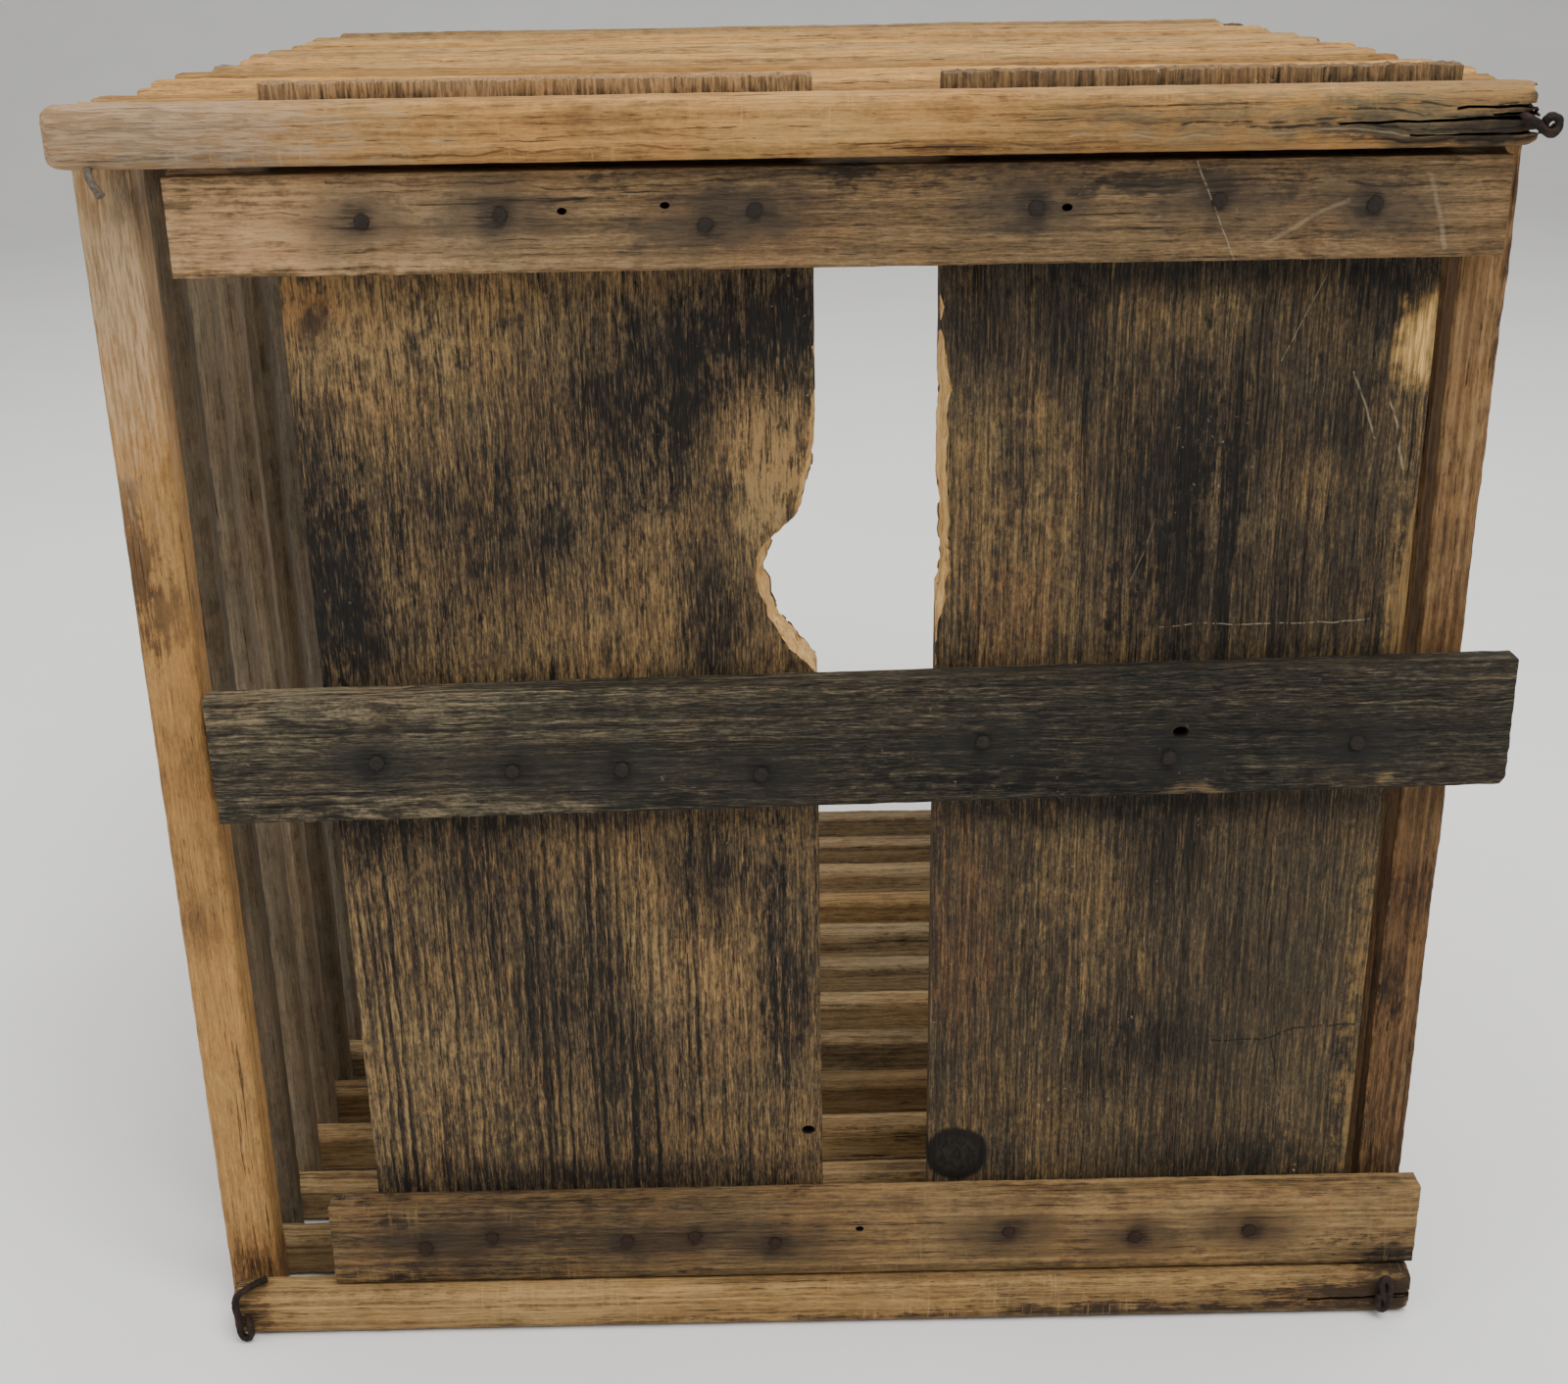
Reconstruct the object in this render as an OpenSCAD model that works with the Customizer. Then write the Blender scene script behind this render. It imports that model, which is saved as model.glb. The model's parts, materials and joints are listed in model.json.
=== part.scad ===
// Slatted egg carrier, lying on one wall with its boarded end to the front
// Four walls of slats interleave at the corners and swing on four corner wires
// Two boards and three nailed battens close the front end, and the back end is open

/* [Walls] */
// Clear width between the left and right walls
inside_w = 305.5; // [260:0.5:360]
// Clear height between the floor and the top
inside_h = 305.5; // [260:0.5:360]
// Slats in the floor, and as many in the top
rows = 13; // [4:1:13]

/* [Slats] */
// Thickness of a slat, across its wall
slat_t = 14.5; // [12:0.5:18]
// Width of a slat, along the depth of the crate
slat_w = 11.5; // [9:0.5:14]
// Room between neighbouring slats where two walls interleave
layer_gap = 1.2; // [0.8:0.1:3]
// Rounding of a slat's long edges
slat_r = 4; // [1:0.5:5]
// Wood past the wire at each end of a slat
slat_end = 7; // [5:0.5:9]
// Rounding of a slat's ends
end_r = 5; // [1:0.5:6]
// How far the floor and top slats are set off to one side or the other
stagger = 2; // [0:0.1:3]

/* [Corner wires] */
// Diameter of the wire
wire_d = 2.6; // [2:0.1:4]
// Room all round the wire in the slats
wire_fit = 0.05; // [0.02:0.01:0.1]
// Room between a clinched wire end and the wood
wire_lift = 0.3; // [0.2:0.1:1]
// Length of the clinched ends at the open back
clinch_back = 9; // [4:0.5:14]
// Length of the lower left wire end that lies on the floor slat
tuck_left = 9; // [3:0.5:9]
// Direction of that end, turned from straight back towards the right
tuck_turn = 35; // [0:1:60]
// Room between the lower right wire end and the batten behind it
tuck_stop = 1; // [0.5:0.1:2]
// Length of the upper left hook, down the front of its slat and past it
hook_drop = 12; // [6:0.5:16]
// Lean of the upper left hook towards the right
hook_lean = 22; // [0:1:40]
// Length of the upper right wire end behind the slat's end
wrap_tail = 5; // [2:0.5:9]

/* [Boards] */
// Thickness of the boards
board_t = 8; // [5:0.5:11]
// Width of the right board
right_board_w = 118; // [80:1:140]
// Open gap between the two boards
board_gap = 29; // [10:1:60]
// Free room between the left wall and the left board
left_play = 30.4; // [5:0.1:60]
// Free room between the right board and the right wall
right_play = 2.8; // [1:0.1:20]
// Board ends past the outside of the top
board_rise = 4; // [1:0.5:10]
// Board ends above the surface that the crate lies on
board_foot = 2.5; // [1:0.5:10]

/* [Gnawed edges] */
// Depth of the bite in the left board
bite_d = 16; // [4:0.5:30]
// Height of that bite along the edge
bite_h = 46; // [30:1:80]
// Middle of that bite above the middle of the crate
bite_rise = 48; // [30:1:70]
// Depth of the worn stretch above the bite
worn_d = 4; // [1:0.5:8]
// Length of the worn stretch
worn_h = 60; // [30:1:90]
// Middle of the worn stretch above the middle of the bite
worn_rise = 24; // [0:1:30]
// Depth of the worn stretch on the right board
gnaw_d = 3.5; // [1:0.5:8]
// Length of that worn stretch
gnaw_h = 90; // [40:1:120]
// Middle of that worn stretch above the middle of the crate
gnaw_rise = 72; // [40:1:90]

/* [Battens] */
// Thickness of the battens
batten_t = 8; // [5:0.5:10]
// Height of the top batten
top_batten_h = 23; // [15:1:35]
// Room between the top batten and the slats above it
top_batten_drop = 1.7; // [1.5:0.1:5]
// Top batten set in from the left wall
top_batten_in = 8.3; // [0:0.1:40]
// Top batten lapped over the right wall
top_batten_lap = 8.3; // [0:0.1:30]
// Height of the middle batten
middle_batten_h = 35; // [20:1:50]
// Middle batten above the middle of the crate
middle_batten_rise = 10; // [-30:1:30]
// Slope of the middle batten, rising to the right
middle_batten_tilt = 0.8; // [0:0.1:3]
// Middle batten set in from the left wall
middle_batten_in = 1.8; // [0:0.1:40]
// Middle batten lapped over the right wall
middle_batten_lap = 24.8; // [0:0.1:30]
// Height of the bottom batten
bottom_batten_h = 26; // [15:1:35]
// Bottom batten set in from the left wall
bottom_batten_in = 17.6; // [0:0.1:40]
// Bottom batten lapped over the right wall
bottom_batten_lap = 16.6; // [0:0.1:30]

/* [Nails] */
// Diameter of a nail's shank
nail_d = 1.8; // [1.2:0.1:2.5]
// Diameter of a nail's head
nail_head_d = 4.4; // [3:0.1:6]
// Height of a nail's head
nail_head_h = 0.8; // [0.4:0.1:1.5]
// Room all round a nail in the wood
nail_fit = 0.05; // [0.02:0.01:0.1]
// Wood left behind a nail's point
nail_cover = 1.5; // [0.5:0.1:3]

/* [Hidden] */
$fn = 48;

// Depth of a pair of layers, and of the whole crate
pitch = 2 * (slat_w + layer_gap);
depth = (rows - 1) * pitch + slat_w;
front_y = -depth / 2;

// Pivot lines of the corner wires
pivot_x = (inside_w + slat_t) / 2;
floor_z = slat_t / 2;
top_z = floor_z + inside_h + slat_t;
middle_z = (floor_z + top_z) / 2;
outside_z = top_z + slat_t / 2;

// The battens meet the boards half way between the first two layers
seam_y = front_y + slat_w + layer_gap / 2;
batten_y = seam_y - batten_t;

// Board edges, from left to right
left_board_x = left_play - inside_w / 2;
right_board_x = inside_w / 2 - right_play - right_board_w;
left_board_w = right_board_x - board_gap - left_board_x;
board_h = outside_z + board_rise - board_foot;

// Batten centres
top_batten_x = (top_batten_in + top_batten_lap) / 2;
middle_batten_x = (middle_batten_in + middle_batten_lap) / 2;
bottom_batten_x = (bottom_batten_in + bottom_batten_lap) / 2;
top_batten_z = top_z - slat_t / 2 - top_batten_drop - top_batten_h / 2;
middle_batten_z = middle_z + middle_batten_rise;
bottom_batten_z = slat_t + bottom_batten_h / 2;

// Batten lengths, from the set in on the left to the lap on the right
top_batten_w = inside_w - top_batten_in + top_batten_lap;
middle_batten_w = inside_w - middle_batten_in + middle_batten_lap;
bottom_batten_w = inside_w - bottom_batten_in + bottom_batten_lap;

// Bend radius that keeps a clinched wire clear of the wood it lies on
wire_bend = wire_d / 2 + wire_lift;

// Nails of each batten: the share of the board's width, and the height off the batten's middle
top_nails_left = [[0.18, 1], [0.43, 2], [0.8, -1], [0.89, 2]];
top_nails_right = [[0.18, 1.5], [0.53, 2.5], [0.83, 1]];
middle_nails_left = [[0.11, -1], [0.38, -4.5], [0.6, -5], [0.88, -7.5]];
middle_nails_right = [[0.1, -0.5], [0.5, -6.5], [0.9, -4]];
bottom_nails_left = [[0.11, -1], [0.26, 2], [0.56, 0], [0.71, 1], [0.89, -1.5]];
bottom_nails_right = [[0.19, 0.5], [0.49, -2], [0.76, -0.5]];

// Cuts reach this far past the faces that they open
over = 1;

// Least half flat between two rounded edges of a slat
least_flat = 0.1;

FLOOR_SLATS = [for (k = [1 : rows]) str("floor_slat_", k)];
TOP_SLATS = [for (k = [1 : rows]) str("top_slat_", k)];
LEFT_SLATS = [for (k = [1 : rows - 1]) str("left_slat_", k)];
RIGHT_SLATS = [for (k = [1 : rows - 1]) str("right_slat_", k)];
WIRES = ["lower_left_wire", "lower_right_wire", "upper_left_wire", "upper_right_wire"];
PANEL = ["left_board", "right_board", "top_batten", "middle_batten", "bottom_batten", "nails"];

// Front of the k-th slat in the floor and top, and in the side walls
function flat_y(k) = front_y + (k - 1) * pitch;
function side_y(k) = flat_y(k) + pitch / 2;

// Sideways set of the k-th floor slat and of the k-th top slat
function floor_set(k) = stagger * sin(100 * k);
function top_set(k) = stagger * sin(100 * k + 150);

// Height of the middle batten's middle line at x
function middle_line(x) = middle_batten_z + (x - middle_batten_x) * tan(middle_batten_tilt);

// Places of a row of nails in one board, on a level line or on the sloping one
function nail_row(nails, x, w, z) = [for (n = nails) [x + n[0] * w, z + n[1]]];
function slope_row(nails, x, w) =
    [for (n = nails) let(nx = x + n[0] * w) [nx, middle_line(nx) + n[1]]];

function top_nails() = concat(
    nail_row(top_nails_left, left_board_x, left_board_w, top_batten_z),
    nail_row(top_nails_right, right_board_x, right_board_w, top_batten_z));
function middle_nails() = concat(
    slope_row(middle_nails_left, left_board_x, left_board_w),
    slope_row(middle_nails_right, right_board_x, right_board_w));
function bottom_nails() = concat(
    nail_row(bottom_nails_left, left_board_x, left_board_w, bottom_batten_z),
    nail_row(bottom_nails_right, right_board_x, right_board_w, bottom_batten_z));
function all_nails() = concat(top_nails(), middle_nails(), bottom_nails());

// Rectangle centred on the origin with round corners
module round_rect(w, h, r) {
    square([w - 2 * r, h], center = true);
    square([w, h - 2 * r], center = true);
    for (x = [-1, 1], y = [-1, 1])
        translate([x * (w / 2 - r), y * (h / 2 - r)])
            circle(r = r);
}

// Slat along X, its first wire at the origin, its front face at y = 0
module slat(span, set) {
    length = span + 2 * slat_end;
    edge_r = min(slat_r, slat_w / 2 - least_flat, slat_t / 2 - least_flat);
    corner_r = min(end_r, slat_t / 2 - least_flat);
    difference() {
        translate([span / 2 + set, slat_w / 2, 0])
            intersection() {
                rotate([90, 0, 90])
                    linear_extrude(length, center = true)
                        round_rect(slat_w, slat_t, edge_r);
                rotate([90, 0, 0])
                    linear_extrude(slat_w, center = true)
                        round_rect(length, slat_t, corner_r);
            }
        for (x = [0, span])
            translate([x, -over, 0])
                rotate([-90, 0, 0])
                    cylinder(d = wire_d + 2 * wire_fit, h = slat_w + 2 * over);
    }
}

module floor_slat(k) {
    color("burlywood")
        translate([-pivot_x, flat_y(k), floor_z])
            slat(2 * pivot_x, floor_set(k));
}

module top_slat(k) {
    color("tan")
        translate([-pivot_x, flat_y(k), top_z])
            slat(2 * pivot_x, top_set(k));
}

module side_slat(x, k) {
    translate([x, side_y(k), floor_z])
        rotate([0, -90, 0])
            slat(top_z - floor_z, 0);
}

module left_slat(k) {
    color("burlywood")
        side_slat(-pivot_x, k);
}

module right_slat(k) {
    color("peru")
        side_slat(pivot_x, k);
}

// Bend of the wire from +Z towards +X by the angle a
module bend(a) {
    translate([wire_bend, 0, 0])
        rotate([90, 0, 0])
            rotate([0, 0, 180 - a])
                rotate_extrude(angle = a)
                    translate([wire_bend, 0])
                        circle(d = wire_d);
}

// Wire that runs along +Z from the origin: each step is a length, a bend and a roll before it
module strand(steps, i = 0) {
    run = steps[i][0];
    a = steps[i][1];
    rotate([0, 0, steps[i][2]]) {
        cylinder(d = wire_d, h = run);
        if (a > 0)
            translate([0, 0, run]) {
                bend(a);
                translate([wire_bend * (1 - cos(a)), 0, wire_bend * sin(a)])
                    rotate([0, a, 0])
                        strand(steps, i + 1);
            }
    }
}

// Lower wire: clinched up at the back, and up and over the first floor slat at the front
module lower_wire(x, tail, turn) {
    color("dimgray")
        translate([x, depth / 2 + wire_bend, floor_z + wire_bend + clinch_back])
            rotate([180, 0, -90])
                strand([
                    [clinch_back, 90, 0],
                    [depth, 90, 0],
                    [slat_t / 2 - wire_bend, 90, -turn],
                    [tail, 0, 0]
                ]);
}

// Upper wire: clinched down at the back, with its own bends at the front
module upper_wire(x, front_steps) {
    color("dimgray")
        translate([x, depth / 2 + wire_bend, top_z - wire_bend - clinch_back])
            rotate([0, 0, -90])
                strand(concat([[clinch_back, 90, 0]], front_steps));
}

module lower_left_wire() {
    lower_wire(-pivot_x, tuck_left, tuck_turn);
}

module lower_right_wire() {
    lower_wire(pivot_x, batten_y - front_y - tuck_stop, 0);
}

module upper_left_wire() {
    upper_wire(-pivot_x, [
        [depth, 90, hook_lean],
        [hook_drop, 0, 0]
    ]);
}

module upper_right_wire() {
    upper_wire(pivot_x, [
        [depth, 90, 90],
        [slat_end + top_set(1) - wire_bend, 90, 0],
        [wrap_tail, 0, 0]
    ]);
}

// Holes for a row of nails, from the batten's face to the nails' points
module nail_holes(points) {
    for (p = points)
        translate([p[0], batten_y - over, p[1]])
            rotate([-90, 0, 0])
                cylinder(d = nail_d + 2 * nail_fit, h = over + batten_t + board_t - nail_cover + nail_fit);
}

// Round cut of depth d and length h into an edge at x, from the side that s points to
module edge_cut(x, z, d, h, s) {
    r = (h * h / 4 + d * d) / (2 * d);
    translate([x + s * (r - d), seam_y - over, z])
        rotate([-90, 0, 0])
            cylinder(r = r, h = board_t + 2 * over, $fn = 96);
}

module board(x, w) {
    translate([x, seam_y, board_foot])
        cube([w, board_t, board_h]);
}

module left_board() {
    edge_x = left_board_x + left_board_w;
    color("saddlebrown")
        difference() {
            board(left_board_x, left_board_w);
            edge_cut(edge_x, middle_z + bite_rise, bite_d, bite_h, 1);
            edge_cut(edge_x, middle_z + bite_rise + worn_rise, worn_d, worn_h, 1);
            nail_holes(all_nails());
        }
}

module right_board() {
    color("sienna")
        difference() {
            board(right_board_x, right_board_w);
            edge_cut(right_board_x, middle_z + gnaw_rise, gnaw_d, gnaw_h, -1);
            nail_holes(all_nails());
        }
}

// Batten with its middle at x and z
module batten(x, z, w, h, tilt) {
    translate([x, batten_y + batten_t / 2, z])
        rotate([0, -tilt, 0])
            cube([w, batten_t, h], center = true);
}

module top_batten() {
    color("tan")
        difference() {
            batten(top_batten_x, top_batten_z, top_batten_w, top_batten_h, 0);
            nail_holes(top_nails());
        }
}

module middle_batten() {
    color("dimgray")
        difference() {
            batten(middle_batten_x, middle_batten_z, middle_batten_w, middle_batten_h,
                middle_batten_tilt);
            nail_holes(middle_nails());
        }
}

module bottom_batten() {
    color("tan")
        difference() {
            batten(bottom_batten_x, bottom_batten_z, bottom_batten_w, bottom_batten_h, 0);
            nail_holes(bottom_nails());
        }
}

module nail() {
    rotate([-90, 0, 0]) {
        translate([0, 0, -nail_head_h])
            cylinder(d = nail_head_d, h = nail_head_h);
        cylinder(d = nail_d, h = batten_t + board_t - nail_cover);
    }
}

module nails() {
    color("black")
        for (p = all_nails())
            translate([p[0], batten_y, p[1]])
                nail();
}

for (k = [1 : rows])
    floor_slat(k);
for (k = [1 : rows])
    top_slat(k);
for (k = [1 : rows - 1])
    left_slat(k);
for (k = [1 : rows - 1])
    right_slat(k);
lower_left_wire();
lower_right_wire();
upper_left_wire();
upper_right_wire();
left_board();
right_board();
top_batten();
middle_batten();
bottom_batten();
nails();
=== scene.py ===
"""Looks of a slatted egg carrier, modelled in the frame of its solids.

The crate lies on one slatted wall with its boarded end to the front.  Every piece takes its place and
size from the frame, is modelled as by hand, and gets a node-based finish on object coordinates.
"""

import json
import logging
import math
import random
from collections.abc import Callable, Iterator
from contextlib import contextmanager
from dataclasses import dataclass, field
from enum import Enum

import bmesh
import bpy
from mathutils import Euler, Matrix, Vector


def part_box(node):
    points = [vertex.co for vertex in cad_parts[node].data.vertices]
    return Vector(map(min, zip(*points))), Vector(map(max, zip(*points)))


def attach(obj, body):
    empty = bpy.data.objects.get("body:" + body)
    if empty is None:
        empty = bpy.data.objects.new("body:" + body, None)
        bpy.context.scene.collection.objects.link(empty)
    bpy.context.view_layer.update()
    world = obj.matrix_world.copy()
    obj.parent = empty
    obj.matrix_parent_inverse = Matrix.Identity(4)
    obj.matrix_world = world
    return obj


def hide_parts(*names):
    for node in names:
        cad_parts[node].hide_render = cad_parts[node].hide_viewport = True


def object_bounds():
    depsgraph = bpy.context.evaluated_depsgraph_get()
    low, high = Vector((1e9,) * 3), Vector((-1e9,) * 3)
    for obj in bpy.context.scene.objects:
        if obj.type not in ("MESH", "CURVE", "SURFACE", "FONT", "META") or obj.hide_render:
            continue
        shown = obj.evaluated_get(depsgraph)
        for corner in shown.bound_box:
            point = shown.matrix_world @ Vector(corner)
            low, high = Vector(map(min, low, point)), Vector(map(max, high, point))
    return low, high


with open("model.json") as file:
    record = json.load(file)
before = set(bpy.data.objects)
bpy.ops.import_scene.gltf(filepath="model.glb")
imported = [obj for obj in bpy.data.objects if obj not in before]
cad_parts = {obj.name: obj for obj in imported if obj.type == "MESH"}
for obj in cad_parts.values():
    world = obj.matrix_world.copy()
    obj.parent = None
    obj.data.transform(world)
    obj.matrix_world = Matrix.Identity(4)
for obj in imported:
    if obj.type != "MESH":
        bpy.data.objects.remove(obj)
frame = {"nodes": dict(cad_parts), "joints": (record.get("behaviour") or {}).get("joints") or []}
CAD_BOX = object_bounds()

LOG = logging.getLogger("egg_carrier")
MM = 0.001
MM_PER_M = 1000
SEED = 36

Colour = tuple[float, float, float]
Tones = tuple[Colour, Colour, Colour, Colour, Colour]
Socket = bpy.types.NodeSocket
Value = float | Socket
Piece = bpy.types.Object
Material = bpy.types.Material


def tint(red: int, green: int, blue: int) -> Colour:
    """Turn a screen colour into a linear one, by the sRGB curve.

    Args:
        red: Red from 0 to 255.
        green: Green from 0 to 255.
        blue: Blue from 0 to 255.

    Returns:
        The colour as linear shares from 0 to 1.
    """
    shares = (red / 255, green / 255, blue / 255)
    return tuple(s / 12.92 if s < 0.04045 else ((s + 0.055) / 1.055) ** 2.4 for s in shares)


def tones(*colours: tuple[int, int, int]) -> Tones:
    """Turn five screen colours, from soiled to bare wood, into linear ones."""
    return tuple(tint(*colour) for colour in colours)


@contextmanager
def edit_mode() -> Iterator[None]:
    """Work on the active piece in edit mode."""
    bpy.ops.object.mode_set(mode="EDIT")
    yield
    bpy.ops.object.mode_set(mode="OBJECT")


SOOT = tint(33, 28, 24)
UMBER = tint(62, 47, 34)
STRAW = tint(206, 164, 100)
DUST = tint(176, 160, 134)
MADDER = tint(104, 48, 32)


class Grain(Enum):
    """Direction of the grain, as the turn that lays it along X."""

    ALONG_X = (0.0, 0.0, 0.0)
    ALONG_Z = (0.0, math.pi / 2, 0.0)


class Corner(Enum):
    """The corner wires, by their nodes."""

    LOWER_LEFT = "lower_left_wire"
    LOWER_RIGHT = "lower_right_wire"
    UPPER_LEFT = "upper_left_wire"
    UPPER_RIGHT = "upper_right_wire"


class Graph:
    """One material and short calls that add nodes to it."""

    def __init__(self, name: str) -> None:
        """Start a material with a principled shader."""
        self.material = bpy.data.materials.new(name)
        self.material.use_nodes = True
        self.tree = self.material.node_tree
        self.shader = self.tree.nodes["Principled BSDF"]
        self.place = self.tree.nodes.new("ShaderNodeTexCoord")

    def put(self, socket: Socket, value: Value | Colour | Vector) -> None:
        """Link a socket to another one, or set its own value."""
        if isinstance(value, bpy.types.NodeSocket):
            self.tree.links.new(value, socket)
        elif socket.type == "RGBA":
            socket.default_value = (*value[:3], 1.0)
        else:
            socket.default_value = value

    def node(self, kind: str, values: dict, **settings: object) -> bpy.types.Node:
        """Add a node.

        Args:
            kind: The node's type name.
            values: What goes into its sockets, by name or place.
            settings: Its own settings.

        Returns:
            The new node.
        """
        made = self.tree.nodes.new(kind)
        for key, setting in settings.items():
            setattr(made, key, setting)
        for key, value in values.items():
            self.put(made.inputs[key], value)
        return made

    def math(self, operation: str, a: Value, b: Value = 0.0) -> Socket:
        """Combine two numbers."""
        return self.node("ShaderNodeMath", {0: a, 1: b}, operation=operation).outputs[0]

    def total(self, start: Value, *terms: tuple[Socket, float]) -> Value:
        """Add up numbers, each times its weight, from a start."""
        result = start
        for socket, weight in terms:
            values = {0: socket, 1: weight, 2: result}
            result = self.node("ShaderNodeMath", values, operation="MULTIPLY_ADD").outputs[0]
        return result

    def vector(self, operation: str, a: Socket | tuple, b: Socket | tuple) -> Socket:
        """Combine two vectors into a vector."""
        return self.node("ShaderNodeVectorMath", {0: a, 1: b}, operation=operation).outputs[0]

    def dot(self, a: Socket, b: tuple) -> Socket:
        """Dot product of two vectors."""
        return self.node("ShaderNodeVectorMath", {0: a, 1: b}, operation="DOT_PRODUCT").outputs["Value"]

    def length(self, a: Socket) -> Socket:
        """Length of a vector."""
        return self.node("ShaderNodeVectorMath", {0: a}, operation="LENGTH").outputs["Value"]

    def parts(self, a: Socket) -> tuple[Socket, Socket, Socket]:
        """The three parts of a vector."""
        split = self.node("ShaderNodeSeparateXYZ", {0: a})
        return split.outputs[0], split.outputs[1], split.outputs[2]

    def noise(self, at: Socket, long_mm: float, wide_mm: float, detail: float = 2.0,
              rough: float = 0.6) -> Socket:
        """Noise with features of about the given length along X and width across it."""
        across = MM_PER_M / wide_mm
        spread = self.vector("MULTIPLY", at, (MM_PER_M / long_mm, across, across))
        values = {"Vector": spread, "Scale": 1.0, "Detail": detail, "Roughness": rough}
        return self.node("ShaderNodeTexNoise", values).outputs["Fac"]

    def remap(self, value: Value, low: float, high: float, start: float = 0.0, end: float = 1.0) -> Socket:
        """Bring a number from one range smoothly to another."""
        values = {"Value": value, "From Min": low, "From Max": high, "To Min": start, "To Max": end}
        return self.node("ShaderNodeMapRange", values, interpolation_type="SMOOTHSTEP").outputs[0]

    def ramp(self, value: Socket, *stops: tuple[float, Colour]) -> Socket:
        """Colour along stops in rising order."""
        made = self.node("ShaderNodeValToRGB", {0: value})
        row = made.color_ramp.elements
        while len(row) < len(stops):
            row.new(0.5)
        for element, (place, colour) in zip(row, stops):
            element.position = place
            element.color = (*colour, 1.0)
        return made.outputs[0]

    def mix(self, share: Value, a: Socket | Colour, b: Socket | Colour, way: str = "MIX") -> Socket:
        """Mix two colours."""
        made = self.node("ShaderNodeMix", {0: share, 6: a, 7: b}, data_type="RGBA", blend_type=way)
        return made.outputs[2]

    def bump(self, height: Socket, depth: float) -> None:
        """Give the shader a relief of the given depth in metres."""
        made = self.node("ShaderNodeBump", {"Height": height, "Distance": depth, "Strength": 1.0})
        self.put(self.shader.inputs["Normal"], made.outputs["Normal"])


@dataclass(frozen=True)
class Mark:
    """A patch on the wood: its middle and its reach across X and up Z, in mm.

    Without a colour its strength darkens the wood, for soil and for painted shade, or rubs it pale where it
    is below 0.
    With a colour it tints the wood; some of these tints are painted shade.  Its fray is how far the grain
    breaks up its edge.
    """

    x: float
    z: float
    wide: float
    high: float
    strength: float = 0.5
    colour: Colour | None = None
    fray: float = 1.0


@dataclass(frozen=True)
class Score:
    """A crack or scratch: its two ends across X and up Z and its width, in mm, and how much it wanders."""

    x: float
    z: float
    to_x: float
    to_z: float
    width: float = 0.5
    strength: float = 0.85
    colour: Colour = SOOT
    wander: float = 0.6


@dataclass(frozen=True)
class Knot:
    """A knot: its middle across X and up Z, and its radius, in mm."""

    x: float
    z: float
    radius: float
    rim: Colour = tint(24, 20, 18)
    heart: Colour = tint(42, 38, 34)


@dataclass(frozen=True)
class Row:
    """Where a row of slats starts along Y, how far apart they are, and how much their tones differ."""

    start: float
    pitch: float
    differ: float = 0.22


@dataclass(frozen=True)
class Layer:
    """A noise of the grain: its detail and roughness, and the window that is spread from 0 to 1."""

    detail: float
    rough: float
    low: float
    high: float


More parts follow.
